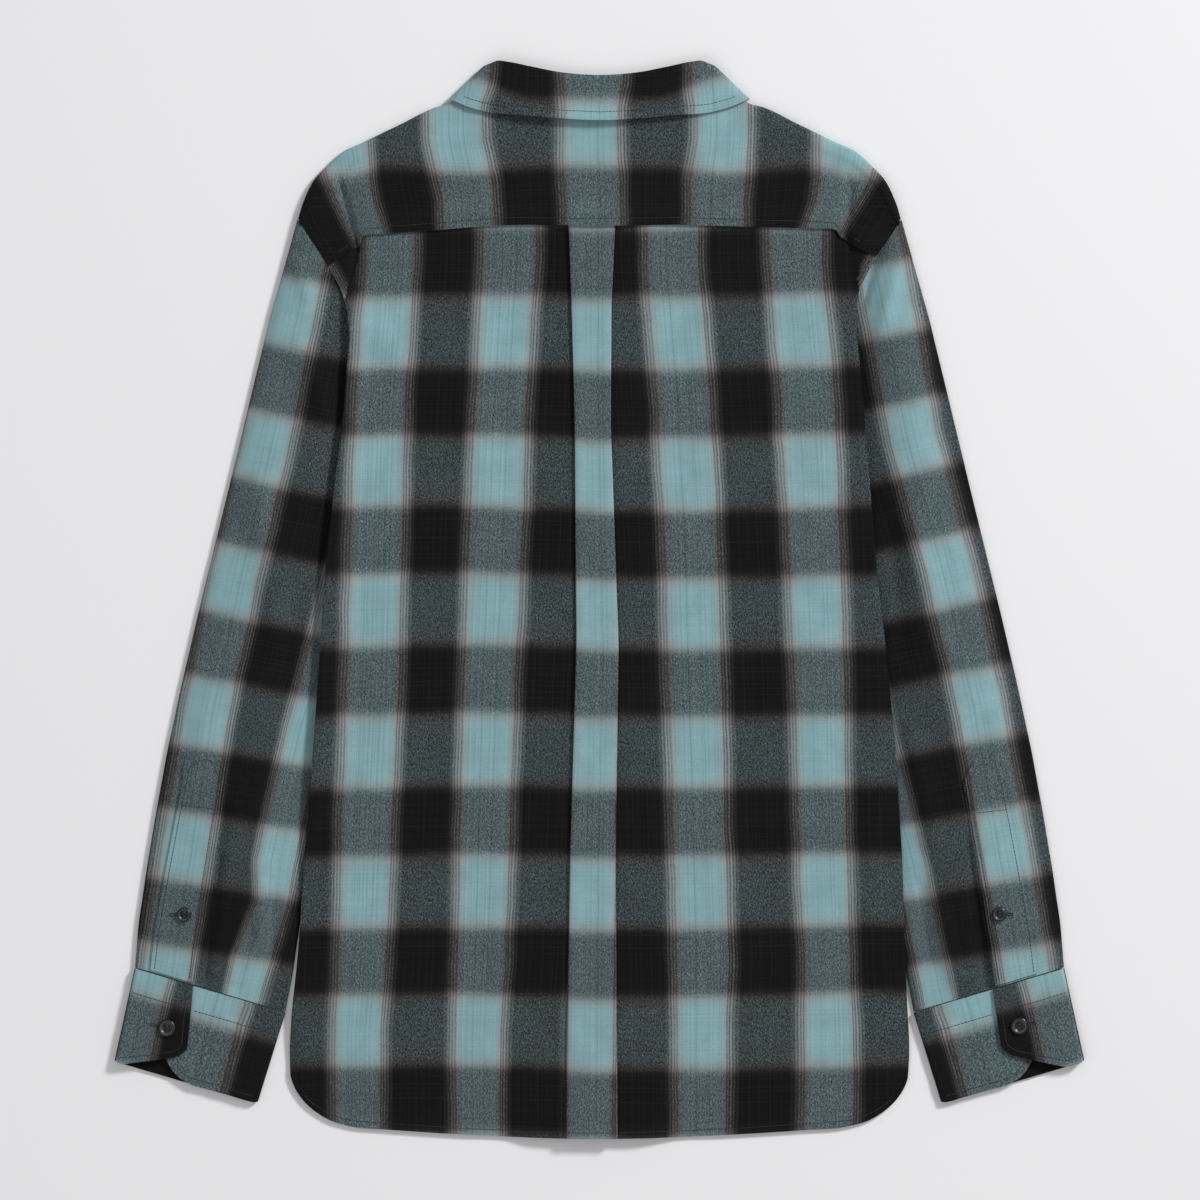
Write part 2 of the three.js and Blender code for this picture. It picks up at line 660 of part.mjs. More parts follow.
function leafSection(width) {
  const section = [[LIP_REACH, -COLLAR_LIP]];
  for (const step of [0, 45, 90, 135, 180]) {
    const angle = (step * Math.PI) / 180;
    const radius = COLLAR_LIP / 2;
    section.push([LEAF_FOLD - radius * Math.sin(angle), -radius * (1 + Math.cos(angle))]);
  }
  section.push([width * 0.4, 0], [width * 0.75, 0], [width, 0]);
  return section;
}

function collarLeaf() {
  const left = FRAMES.map((frame) => leafSection(frame.width).map(([a, n]) => collarPoint(frame, a, n, -1)));
  const right = FRAMES.map((frame) => leafSection(frame.width).map(([a, n]) => collarPoint(frame, a, n, 1)));
  return wall([...left.reverse(), ...right.slice(1)], COLLAR_CLOTH);
}

add("collar_leaf", collarLeaf(), CHECK_CLOTH);

// Collar stand: from the neckline up to the leaf, its ends lapped at the centre front
const STAND_RISE = { left: 0.1, right: 2.2 }; // the right end lies over the left one
const STAND_END = { topY: 305.5, reach: 14 };

function standRow(frame, side, lift) {
  return [LIP_REACH + 2 * SEAM_GAP, STAND_HEIGHT / 2, STAND_HEIGHT].map((across) => {
    const [x, y, z] = collarPoint(frame, across, -COLLAR_LIP, side.sign);
    return [x, y, z + lift];
  });
}

function standEnd(x, side) {
  const z = COLLAR_AXIS - COLLAR_TURN + COLLAR_LIP + STAND_RISE[side.name];
  return [STAND_END.topY, (STAND_END.topY + STAND_FOOT) / 2, STAND_FOOT].map((y) => [side.sign * x, y, z]);
}

function collarStand() {
  const halves = SIDES.map((side) => {
    const rows = FRAMES.map((frame, k) => {
      const lift = k === FRAMES.length - 1 ? STAND_RISE[side.name] : 0;
      return standRow(frame, side, lift);
    });
    rows.push(standEnd(0, side), standEnd(-STAND_END.reach, side));
    return rows;
  });
  return wall([...halves[0].reverse(), ...halves[1].slice(1)], COLLAR_CLOTH);
}

add("collar_stand", collarStand(), CHECK_CLOTH);

// Sleeves: flattened tubes, tucked under the body along their inner fold
const SLEEVE_TOPS = [0.12, 0.28, 0.45, 0.62, 0.78, 0.9, 1];
const FOLD_RING = [-90, -45, 0, 45, 90];

// Plan point of a sleeve section, its head curved like the armhole
function sleevePlan(index, t) {
  const row = rowAt(SLEEVE, index);
  const head = SLEEVE[0];
  const y = lerp(head.outY, head.inY, t);
  const bow = (look(ARMHOLE, "y", y, "x") - lerp(head.outX, head.inX, t)) * Math.max(0, 1 - index / 3);
  const away = index < 1 ? (1 - index) * SEAM_GAP * 0.6 : 0;
  return [lerp(row.outX, row.inX, t) + bow + away, lerp(row.outY, row.inY, t) - away * 0.4];
}

// Share of a section that shows beside the body
function shownShare(index, side) {
  for (let t = 1; t > 0.3; t -= 0.01) {
    const [x, y] = sleevePlan(index, t);
    if (x > bodyEdge(y, side.name) + 1) return t;
  }
  return 0.3;
}

function sleeveMiddle(index, distance, side) {
  const row = rowAt(SLEEVE, index);
  const width = Math.hypot(row.outX - row.inX, row.outY - row.inY);
  const shown = shownShare(index, side) * width;
  const share = clamp01(distance / shown);
  const base = lerp(row.fold, SLEEVE_FLAT, ease(share, 0.35, 0.97)) - CLOTH / 2;
  return base + row.swell * Math.sin(Math.PI * share) ** 0.8;
}

function sleeveRing(index, side) {
  const row = rowAt(SLEEVE, index);
  const width = Math.hypot(row.outX - row.inX, row.outY - row.inY);
  const outRadius = (row.fold - CLOTH) / 2;
  const inRadius = (SLEEVE_FLAT - CLOTH) / 2;
  const outCentre = outRadius + CLOTH / 2;
  const inCentre = width - inRadius - CLOTH / 2;
  const shown = shownShare(index, side) * width;
  const ring = [];
  for (const share of [0.2, 0.45, 0.7, 0.9]) {
    ring.push([lerp(outCentre, inCentre, share), CLOTH / 2]);
  }
  for (const step of FOLD_RING) {
    const angle = (step * Math.PI) / 180;
    ring.push([inCentre + inRadius * Math.cos(angle), SLEEVE_FLAT / 2 + inRadius * Math.sin(angle)]);
  }
  const tops = SLEEVE_TOPS.map((share) => {
    const limit = inCentre - 2 - (1 - share) * 8;
    return Math.min(lerp(outCentre, shown, share), limit);
  });
  if (shown < inCentre - 14) tops.push((shown + inCentre) / 2);
  else tops.push(Math.max(tops[tops.length - 1] + 0.8, inCentre - 1));
  for (const distance of tops.reverse()) {
    ring.push([distance, sleeveMiddle(index, distance, side)]);
  }
  for (const step of FOLD_RING) {
    const angle = (step * Math.PI) / 180;
    ring.push([outCentre - outRadius * Math.cos(angle), row.fold / 2 - outRadius * Math.sin(angle)]);
  }
  return ring.map(([distance, z]) => {
    const [x, y] = sleevePlan(index, distance / width);
    return [side.sign * x, y, z];
  });
}

for (const side of SIDES) {
  const rings = SLEEVE.map((row, index) => sleeveRing(index, side));
  add(`sleeve_${side.name}`, wall(rings, CLOTH, true), CHECK_CLOTH);
}

// Sleeve plackets: strips with a pointed top, laid on the sleeve from its own points
const PLACKET = [
  { section: 7.76, from: 0.27, to: 0.285 },
  { section: 7.86, from: 0.2, to: 0.335 },
  { section: 8.0, from: 0.137, to: 0.377 },
  { section: 9, from: 0.128, to: 0.38 },
  { section: 10, from: 0.12, to: 0.383 },
  { section: 11, from: 0.11, to: 0.386 },
  { section: 11.95, from: 0.104, to: 0.389 },
];
const PLACKET_LIFT = 0.6; // clear of the sleeve's flat facets
const PLACKET_SHIFT = { left: 0, right: 0.07 };

function sleeveTop(index, t, side) {
  const row = rowAt(SLEEVE, index);
  const width = Math.hypot(row.outX - row.inX, row.outY - row.inY);
  const [x, y] = sleevePlan(index, t);
  return [side.sign * x, y, sleeveMiddle(index, t * width, side) + CLOTH / 2];
}

function placketPoint(index, t, side) {
  const [x, y, z] = sleeveTop(index, t + PLACKET_SHIFT[side.name], side);
  return [x, y, z + PLACKET_LIFT + CLOTH / 2];
}

for (const side of SIDES) {
  const rows = PLACKET.map((row) =>
    [0, 0.25, 0.5, 0.75, 1].map((share) => placketPoint(row.section, lerp(row.from, row.to, share), side)),
  );
  add(`sleeve_placket_${side.name}`, wall(rows, CLOTH), CHECK_CLOTH);
}

// Cuffs: a band round the wrist, one end lapped over the other, its corners rounded
const CUFF = {
  topOut: [355.9, -282.2],
  topIn: [240.4, -316.4],
  footOut: [371.4, -353.7],
  footIn: [262.0, -385.9],
  floor: CUFF_CLOTH / 2,
  under: 3.9,
  flap: 6.2,
  underFrom: 0.2,
};
const CUFF_SIDE = {
  left: { flapTo: 0.389, buttonX: 330.9, buttonY: -327.7 },
  right: { flapTo: 0.475, buttonX: 321.3, buttonY: -326.2 },
};
const CUFF_ROWS = [0, 0.25, 0.45, 0.62, 0.78, 0.9, 1];

function cuffPoint(across, down, z, side) {
  const top = [0, 1].map((axis) => lerp(CUFF.topOut[axis], CUFF.topIn[axis], across));
  const foot = [0, 1].map((axis) => lerp(CUFF.footOut[axis], CUFF.footIn[axis], across));
  return [side.sign * lerp(top[0], foot[0], down), lerp(top[1], foot[1], down), z];
}

// Path round the cuff: share across, height and how far down the cloth reaches there
function cuffPath(side) {
  const width = Math.hypot(CUFF.topOut[0] - CUFF.topIn[0], CUFF.topOut[1] - CUFF.topIn[1]);
  const { flapTo } = CUFF_SIDE[side.name];
  const path = [];
  const half = CUFF_CLOTH / 2;
  const inRadius = (CUFF.under - CUFF.floor) / 2;
  const outRadius = (CUFF.flap - CUFF.floor) / 2;
  const inCentre = 1 - (inRadius + half) / width;
  const outCentre = (outRadius + half) / width;
  for (const share of [0, 0.12, 0.26, 0.42, 0.62, 0.85]) {
    const across = lerp(CUFF.underFrom, inCentre, share);
    const cut = clamp01(1 - (across - CUFF.underFrom) / 0.32);
    path.push([across, CUFF.under, 1 - 0.5 * cut ** 1.9]);
  }
  for (const step of [90, 45, 0, -45, -90]) {
    const angle = (step * Math.PI) / 180;
    const across = inCentre + (inRadius / width) * Math.cos(angle);
    path.push([across, (CUFF.under + CUFF.floor) / 2 + inRadius * Math.sin(angle), 1]);
  }
  for (const share of [0.25, 0.5, 0.75]) {
    path.push([lerp(inCentre, outCentre, share), CUFF.floor, 1]);
  }
  for (const step of [-90, -45, 0, 45, 90]) {
    const angle = (step * Math.PI) / 180;
    const across = outCentre - (outRadius / width) * Math.cos(angle);
    path.push([across, (CUFF.flap + CUFF.floor) / 2 + outRadius * Math.sin(angle), 1]);
  }
  for (const share of [0.25, 0.5, 0.72, 0.88, 1]) {
    const across = lerp(outCentre, flapTo, share);
    const cut = clamp01((across - 0.08) / (flapTo - 0.08));
    path.push([across, CUFF.flap, 1 - 0.4 * cut ** 2.4]);
  }
  return path;
}

for (const side of SIDES) {
  const path = cuffPath(side);
  const rows = CUFF_ROWS.map((share) =>
    path.map(([across, z, reach]) => cuffPoint(across, share * reach, z, side)),
  );
  add(`cuff_${side.name}`, wall(rows, CUFF_CLOTH), CHECK_CLOTH);
}

// Buttons: flat discs with four holes
const BUTTON_EDGE = 0.5;
const HOLE_CIRCLE = 1.75;
const HOLE_RADIUS = 0.85;
const CUFF_BUTTON = 13.2;
const SMALL_BUTTON = 11;
const FRONT_BUTTON = 11.5;
const FRONT_BUTTONS = 6;
const FRONT_FIRST = 222;
const FRONT_SPACING = 96;
const PLACKET_BUTTON = { section: 10.55, across: 0.272 };

function circle(path, x, y, radius, count) {
  for (let n = 0; n <= count; n += 1) {
    const angle = (2 * Math.PI * n) / count;
    const move = n === 0 ? "moveTo" : "lineTo";
    path[move](x + radius * Math.cos(angle), y + radius * Math.sin(angle));
  }
  return path;
}

function button(diameter, rounded) {
  const edge = rounded ? BUTTON_EDGE : 0;
  const disc = circle(new THREE.Shape(), 0, 0, diameter / 2 - edge, rounded ? 20 : 14);
  for (let n = 0; n < 4; n += 1) {
    const angle = Math.PI / 4 + (n * Math.PI) / 2;
    const x = HOLE_CIRCLE * Math.cos(angle);
    const y = HOLE_CIRCLE * Math.sin(angle);
    disc.holes.push(circle(new THREE.Path(), x, y, HOLE_RADIUS, rounded ? 6 : 4));
  }
  const geometry = new THREE.ExtrudeGeometry(disc, {
    depth: BUTTON_THICK - 2 * edge,
    bevelEnabled: rounded,
    bevelSegments: 1,
    bevelSize: edge,
    bevelThickness: edge,
  });
  return geometry.translate(0, 0, edge);
}

function addButton(name, diameter, x, y, z, rounded) {
  add(name, button(diameter, rounded), BUTTON_RESIN);
  shirt.children[shirt.children.length - 1].position.set(x, y, z);
}

for (const side of SIDES) {
  const { buttonX, buttonY } = CUFF_SIDE[side.name];
  const flapTop = CUFF.flap + CUFF_CLOTH / 2 + GAP;
  addButton(`cuff_button_${side.name}`, CUFF_BUTTON, side.sign * buttonX, buttonY, flapTop, true);
  const [x, y, z] = placketPoint(PLACKET_BUTTON.section, PLACKET_BUTTON.across, side);
  addButton(`placket_button_${side.name}`, SMALL_BUTTON, x, y, z + CLOTH / 2 + GAP, true);
}

addButton("stand_button", FRONT_BUTTON, 0, (STAND_END.topY + STAND_FOOT) / 2, 0, false);
for (let n = 0; n < FRONT_BUTTONS; n += 1) {
  addButton(`front_button_${n + 1}`, FRONT_BUTTON, 0, FRONT_FIRST - n * FRONT_SPACING, 0, false);
}

export default shirt;
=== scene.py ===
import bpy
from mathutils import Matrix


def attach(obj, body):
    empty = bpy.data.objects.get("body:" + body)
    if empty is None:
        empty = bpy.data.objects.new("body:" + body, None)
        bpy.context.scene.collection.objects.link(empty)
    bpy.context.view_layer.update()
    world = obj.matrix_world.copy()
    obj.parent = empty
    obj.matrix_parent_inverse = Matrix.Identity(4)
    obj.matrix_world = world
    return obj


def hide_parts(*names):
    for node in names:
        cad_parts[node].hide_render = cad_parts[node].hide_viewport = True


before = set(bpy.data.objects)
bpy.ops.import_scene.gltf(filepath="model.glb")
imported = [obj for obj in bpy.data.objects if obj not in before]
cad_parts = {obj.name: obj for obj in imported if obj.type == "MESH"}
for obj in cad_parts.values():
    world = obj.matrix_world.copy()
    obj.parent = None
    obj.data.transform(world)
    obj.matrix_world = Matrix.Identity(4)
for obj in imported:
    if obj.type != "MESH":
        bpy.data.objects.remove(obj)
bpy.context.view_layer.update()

import math

import bpy
import numpy as np
from mathutils import Vector
from mathutils.bvhtree import BVHTree


# BACK PANEL. One cut of brushed cotton twill over the whole back, folded under both edges of a
# centre box pleat, with a curved shirt-tail hem turned up twice. It lies on the two fronts and
# rolls over at its side folds.

# Cloth and gaps between layers, in millimetres as every size below
CLOTH = 1.0
GAP = 0.3
SEAM_GAP = 0.8
ARMHOLE_GAP = 0.3
LAYER = CLOTH + GAP
YOKE_LAP = 8
BODY_LOFT = 4.7
ROLL = 7
SLEEVE_FLAT = 2.6
BUTTON_THICK = 2.2
FRONT_LAP = 16

# Half width of the body at each height
BODY_EDGE = [
    {"y": -364, "left": 236.6, "right": 236.2},
    {"y": -345, "left": 237.3, "right": 237.5},
    {"y": -322, "left": 236.0, "right": 236.0},
    {"y": -268, "left": 230.4, "right": 233.7},
    {"y": -198, "left": 225.7, "right": 231.6},
    {"y": -116, "left": 219.0, "right": 226.6},
    {"y": -31, "left": 213.2, "right": 218.4},
    {"y": 24, "left": 209.5, "right": 211.8},
    {"y": 76, "left": 203.9, "right": 207.9},
    {"y": 153, "left": 194.7, "right": 201.5},
    {"y": 221, "left": 190.5, "right": 195.6},
    {"y": 284, "left": 183.0, "right": 189.0},
]

# Armhole seam from under the arm to the shoulder
ARMHOLE = [
    {"y": 194.8, "x": 177.1},
    {"y": 221.5, "x": 190.5},
    {"y": 256, "x": 207.6},
    {"y": 272, "x": 218.6},
    {"y": 291.2, "x": 231.0},
]

# Edges of the centre box pleat and how far the cloth is folded back under each
PLEAT = [
    {"y": -413, "left": -25.4, "right": 13.5, "depth": 4},
    {"y": -198, "left": -22.2, "right": 12.0, "depth": 5.5},
    {"y": -36, "left": -17.4, "right": 14.3, "depth": 7.5},
    {"y": 138, "left": -18.7, "right": 8.2, "depth": 10.5},
    {"y": 230, "left": -21.3, "right": 9.0, "depth": 13},
    {"y": 296, "left": -23.7, "right": 12.2, "depth": 14},
]

# Lower edge of the yoke, which a fold beside each armhole draws down
YOKE_SEAM = [
    {"x": 0, "left": 285.7, "right": 285.7},
    {"x": 60, "left": 286.9, "right": 286.9},
    {"x": 90, "left": 285.6, "right": 286.0},
    {"x": 127, "left": 282.4, "right": 284.8},
    {"x": 166, "left": 279.7, "right": 284.0},
    {"x": 181.5, "left": 277.6, "right": 282.6},
    {"x": 184, "left": 271.0, "right": 278.0},
    {"x": 189, "left": 268.0, "right": 274.6},
    {"x": 207.5, "left": 255.4, "right": 263.0},
]

# Inner fold of a sleeve, as the limit where the front climbs over it
SLEEVE_INSIDE = [
    {"y": -345, "x": 262},
    {"y": -315.5, "x": 240.6},
    {"y": -248.9, "x": 229.5},
    {"y": -164.8, "x": 215.3},
    {"y": -73, "x": 200.8},
    {"y": 13.5, "x": 187},
    {"y": 91.5, "x": 175.6},
    {"y": 172.6, "x": 171.7},
    {"y": 194.8, "x": 177.1},
    {"y": 221, "x": 190},
    {"y": 240, "x": 208},
    {"y": 262, "x": 244},
    {"y": 300, "x": 290},
]
POINT_TIP = (39.4, 258.2)  # tip of a collar point, under the fronts
POINT_SLANT = 0.602
COLLAR_LIP = 2.4


def lerp(a, b, t):
    return a + (b - a) * t


def clamp01(t):
    return min(1.0, max(0.0, t))


def ease(value, start, end):
    t = clamp01((value - start) / (end - start))
    return t * t * (3 - 2 * t)


def look(table, key, place, name):
    rows = sorted(table, key=lambda row: row[key])
    return float(np.interp(place, [row[key] for row in rows], [row[name] for row in rows]))


def body_edge(y, side):
    return look(BODY_EDGE, "y", y, side)


def panel_edge(y, side):
    armhole = look(ARMHOLE, "y", y, "x") - ARMHOLE_GAP / 2 if y > ARMHOLE[0]["y"] else 0
    return max(body_edge(y, side), armhole)


def hem_height(x):
    reach = abs(x)
    corner = clamp01((reach - 185) / 52.3)
    return -412.7 + 8.4 * (reach / 181.7) ** 1.75 + 42 * (1 - math.sqrt(1 - corner * corner))


def armhole_distance(reach, y):
    foot, top = ARMHOLE[0], ARMHOLE[-1]
    length = math.hypot(top["x"] - foot["x"], top["y"] - foot["y"])
    across = (top["y"] - foot["y"]) / length
    along = -(top["x"] - foot["x"]) / length
    return (reach - foot["x"]) * across + (y - foot["y"]) * along


def front_lower(x, y, sign):
    reach = abs(x)
    stack = BUTTON_THICK + GAP + (LAYER if sign > 0 else 0)
    centre = stack * (1 - ease(reach - FRONT_LAP, 9, 26))
    past_fold = reach - look(SLEEVE_INSIDE, "y", y, "x")
    tucked = min(past_fold, armhole_distance(reach, y)) if y > 150 else past_fold
    over_sleeve = (SLEEVE_FLAT + GAP) * ease(tucked, -32, -9)
    point_edge = POINT_TIP[0] + max(0, y - POINT_TIP[1]) * POINT_SLANT
    beside = ease(point_edge - reach, -36, -7)
    over_point = COLLAR_LIP * ease(y, POINT_TIP[1] - 30, POINT_TIP[1] - 4) * beside
    return max(centre, over_sleeve, over_point)


def back_lower(x, y):
    reach = abs(x)
    neck = 1.7 * ease(y, 262, 300) * (1 - ease(reach, 95, 150))
    lapped = 2.4 * ease(y, 236, 276) * (1 - ease(y, 322, 350)) * (1 - ease(reach, 24, 62))
    centre = 1.0 * (1 - ease(reach, 20, 70))
    return BODY_LOFT + max(neck, centre, lapped)


def back_height(x, y):
    side, sign = ("left", -1) if x < 0 else ("right", 1)
    edge_x = sign * (panel_edge(y, side) - 1)
    on_front = front_lower(edge_x, y, sign) + LAYER
    at_sleeve = max(on_front, SLEEVE_FLAT + GAP + LAYER)
    edge = lerp(on_front, at_sleeve, ease(y, 205, 235))
    roll = clamp01((panel_edge(y, side) - abs(x)) / ROLL)
    tail = hem_height(x)
    strip = (BUTTON_THICK + 3 * LAYER) * (1 - ease(abs(x), 40, 70))
    flat = lerp(max(1.3 + GAP, strip), back_lower(x, y), ease(y, tail, tail + 60))
    return lerp(min(flat, edge), flat, math.sqrt(1 - (1 - roll) ** 2))


def yoke_seam(x):
    return look(YOKE_SEAM, "x", abs(x), "left" if x < 0 else "right")


def pleat_half(edge, depth, middle, way):
    turn = LAYER / 2
    half = [(edge - 4 * way, 0), (edge + depth * way, 0)]
    for step in (45, 90, 135):
        angle = math.radians(step)
        half.append((edge + depth * way + way * turn * math.sin(angle), turn * (1 - math.cos(angle))))
    half += [(edge + depth * way, LAYER), (edge + turn * way, LAYER)]
    for step in (45, 90, 135):
        angle = math.radians(step)
        half.append((edge + turn * way - way * turn * math.sin(angle), LAYER + turn * (1 - math.cos(angle))))
    return half + [(edge + turn * way, 2 * LAYER), (lerp(edge, middle, 0.5), 2 * LAYER), (middle, 2 * LAYER)]


def back_section(y):
    left, right, depth = (look(PLEAT, "y", y, name) for name in ("left", "right", "depth"))
    middle = (left + right) / 2
    return pleat_half(left, depth, middle, 1) + pleat_half(right, depth, middle, -1)[-2::-1]


PANEL_SHARES = [0, 0.004, 0.012, 0.025, 0.05, 0.12, 0.22, 0.36, 0.52, 0.66, 0.8, 0.92]
HEM_ROWS = [0, 0.003, 0.0075, 0.011, 0.02, 0.045]
BACK_ROWS = HEM_ROWS + [0.08 + 0.046 * n for n in range(21)]


def back_point(j, y):
    section = back_section(y)
    count = len(PANEL_SHARES)
    if j < count:
        return lerp(-panel_edge(y, "left"), section[0][0], PANEL_SHARES[j]), 0
    if j < count + len(section):
        return section[j - count]
    share = PANEL_SHARES[2 * count + len(section) - 1 - j]
    return lerp(panel_edge(y, "right"), section[-1][0], share), 0


# Creases as soft troughs (depth below 0) or ridges: from one end to the other, width and height
BACK_CREASES = [
    {"x0": -200, "y0": 322, "x1": -185, "y1": 268, "wide": 3.8, "high": -3.4},
    {"x0": 193, "y0": 320, "x1": 188, "y1": 272, "wide": 4, "high": -2.8},
    {"x0": -184.5, "y0": 280, "x1": -190, "y1": 226, "wide": 3.4, "high": -3.0},
    {"x0": 191, "y0": 280, "x1": 195, "y1": 236, "wide": 3.4, "high": -2.4},
    {"x0": -178, "y0": 316, "x1": -166, "y1": 282, "wide": 9, "high": 0.8},
    {"x0": -184, "y0": 214, "x1": -118, "y1": 150, "wide": 14, "high": 1.2},
    {"x0": 186, "y0": 205, "x1": 132, "y1": 118, "wide": 16, "high": 1.1},
    {"x0": -96, "y0": 240, "x1": -88, "y1": 40, "wide": 20, "high": 1.0},
    {"x0": 88, "y0": 262, "x1": 80, "y1": 84, "wide": 18, "high": 1.1},
    {"x0": 152, "y0": 60, "x1": 166, "y1": -150, "wide": 22, "high": 1.0},
    {"x0": -150, "y0": 10, "x1": -168, "y1": -190, "wide": 24, "high": 1.1},
    {"x0": -60, "y0": -120, "x1": -76, "y1": -350, "wide": 18, "high": 1.0},
    {"x0": 98, "y0": -170, "x1": 112, "y1": -380, "wide": 20, "high": 1.1},
    {"x0": -190, "y0": -270, "x1": -120, "y1": -330, "wide": 16, "high": 1.0},
    {"x0": 60, "y0": 350, "x1": 120, "y1": 300, "wide": 13, "high": 0.9},
    {"x0": -70, "y0": 356, "x1": -126, "y1": 318, "wide": 12, "high": 0.8},
    {"x0": 2, "y0": -150, "x1": 6, "y1": -330, "wide": 8, "high": 0.7},
]


def crease_lift(creases, x, y):
    lift = np.zeros_like(x)
    for crease in creases:
        run_x, run_y = crease["x1"] - crease["x0"], crease["y1"] - crease["y0"]
        length = math.hypot(run_x, run_y)
        along = ((x - crease["x0"]) * run_x + (y - crease["y0"]) * run_y) / length
        aside = ((x - crease["x0"]) * run_y - (y - crease["y0"]) * run_x) / length
        past = np.maximum(0, np.abs(along - length / 2) - length / 2 + crease["wide"])
        fade = np.clip(1 - past / (crease["wide"] * 2.2), 0, 1) ** 2
        lift += crease["high"] * fade * np.exp(-((aside / crease["wide"]) ** 2) * 1.6)
    return lift


def loft_wave(x, y):
    wave = np.sin(x / 31 + y / 83 + 0.7) * np.sin(y / 47 - x / 190)
    return 0.22 * (wave + 0.6 * np.sin(x / 17 - y / 29) * np.sin(y / 23 + 1.9))


def finer(grid, step, around=False):
    """Smooth grid through the given one, its lines about a step apart."""
    for axis in (0, 1):
        closed = around and axis == 1
        if closed:
            grid = np.concatenate([grid[:, -2:], grid, grid[:, :3]], axis=1)
        gaps = np.linalg.norm(np.diff(grid[..., :3], axis=axis), axis=2).mean(axis=1 - axis)
        at = np.concatenate([[0], np.cumsum(gaps)])
        slope = np.gradient(grid, at, axis=axis)
        low, place = [], []
        for k in range(2, len(gaps) - 2) if closed else range(len(gaps)):
            count = max(2, round(gaps[k] / step))
            low += [k] * count
            place += [n / count for n in range(count)]
        if not closed:
            low.append(len(gaps) - 1)
            place.append(1.0)
        low = np.array(low)
        shape = (-1, 1, 1) if axis == 0 else (1, -1, 1)
        t = np.array(place).reshape(shape)
        width = gaps[low].reshape(shape)
        a, b = np.take(grid, low, axis), np.take(grid, low + 1, axis)
        slope_a, slope_b = np.take(slope, low, axis), np.take(slope, low + 1, axis)
        grid = (
            (2 * t**3 - 3 * t**2 + 1) * a
            + (t**3 - 2 * t**2 + t) * width * slope_a
            + (3 * t**2 - 2 * t**3) * b
            + (t**3 - t**2) * width * slope_b
        )
    return grid


def sewn_shell(name, middle, check, thickness, around=False):
    """Closed shell round a grid of middle points, with the check's column and row numbers as its map."""
    middle[..., 2] = np.maximum(middle[..., 2], thickness / 2)
    along = np.gradient(middle, axis=0)
    across = np.roll(middle, -1, 1) - np.roll(middle, 1, 1) if around else np.gradient(middle, axis=1)
    normal = np.cross(across, along)
    normal /= np.maximum(np.linalg.norm(normal, axis=2, keepdims=True), 1e-9)
    faces_xyz = [middle + normal * thickness / 2, middle - normal * thickness / 2]
    rows, columns = middle.shape[:2]
    points = np.concatenate([face.reshape(-1, 3) for face in faces_xyz]) / 1000
    number = np.arange(2 * rows * columns).reshape(2, rows, columns)
    if around:
        number = np.concatenate([number, number[:, :, :1]], axis=2)
    top, under = number
    quads = [
        np.stack([top[:-1, :-1], top[:-1, 1:], top[1:, 1:], top[1:, :-1]], axis=-1),
        np.stack([under[:-1, :-1], under[1:, :-1], under[1:, 1:], under[:-1, 1:]], axis=-1),
        np.stack([top[0, :-1], under[0, :-1], under[0, 1:], top[0, 1:]], axis=-1),
        np.stack([top[-1, :-1], top[-1, 1:], under[-1, 1:], under[-1, :-1]], axis=-1),
    ]
    if not around:
        quads.append(np.stack([top[:-1, 0], top[1:, 0], under[1:, 0], under[:-1, 0]], axis=-1))
        quads.append(np.stack([top[:-1, -1], under[:-1, -1], under[1:, -1], top[1:, -1]], axis=-1))
    faces = np.concatenate([quad.reshape(-1, 4) for quad in quads])
    a, b, c, d = (points[faces[:, k]] for k in range(4))
    volume = np.einsum("ij,ij->", a, np.cross(b, c)) + np.einsum("ij,ij->", a, np.cross(c, d))
    if volume < 0:
        faces = faces[:, ::-1]
    mesh = bpy.data.meshes.new(name)
    mesh.from_pydata(points.tolist(), [], faces.tolist())
    spots = np.concatenate([check.reshape(-1, 2)] * 2)
    corner = np.zeros(len(mesh.loops), dtype=np.int32)
    mesh.loops.foreach_get("vertex_index", corner)
    mesh.uv_layers.new(name="check").data.foreach_set("uv", spots[corner].ravel())
    mesh.shade_smooth()
    mesh.set_sharp_from_angle(angle=math.radians(62))
    piece = bpy.data.objects.new(name, mesh)
    bpy.context.scene.collection.objects.link(piece)
    return piece


# Check: light band edges of the back in millimetres across, at each height. Bands are numbered from
# the centre pleat: a light band reaches a quarter to each side of its whole number.
BACK_COLUMNS = [
    {"y": 258, "a0": -183, "a1": -137, "b0": -93.5, "b1": -44, "c0": 31.5, "c1": 80.5, "d0": 125.5, "d1": 175.5},
    {"y": 151, "a0": -191.5, "a1": -144, "b0": -99.5, "b1": -51, "c0": 40, "c1": 90, "d0": 134, "d1": 185.5},
    {"y": 45, "a0": -195, "a1": -146.5, "b0": -104, "b1": -55, "c0": 45.5, "c1": 95.5, "d0": 140, "d1": 188.5},
    {"y": -62, "a0": -197.5, "a1": -149, "b0": -108, "b1": -60, "c0": 48.5, "c1": 98.5, "d0": 145.5, "d1": 192},
    {"y": -169, "a0": -201.5, "a1": -154.5, "b0": -110.5, "b1": -64, "c0": 52, "c1": 100.5, "d0": 148.5, "d1": 193},
    {"y": -276, "a0": -203.5, "a1": -159, "b0": -112.5, "b1": -68, "c0": 54.5, "c1": 104, "d0": 152.5, "d1": 196},
    {"y": -330, "a0": -206, "a1": -164, "b0": -113.5, "b1": -72, "c0": 56, "c1": 101.5, "d0": 152.5, "d1": 199},
]
WARP_REPEAT = 94.0
WEFT_REPEAT = 107.0
FIRST_LIGHT_ROW = 204.7


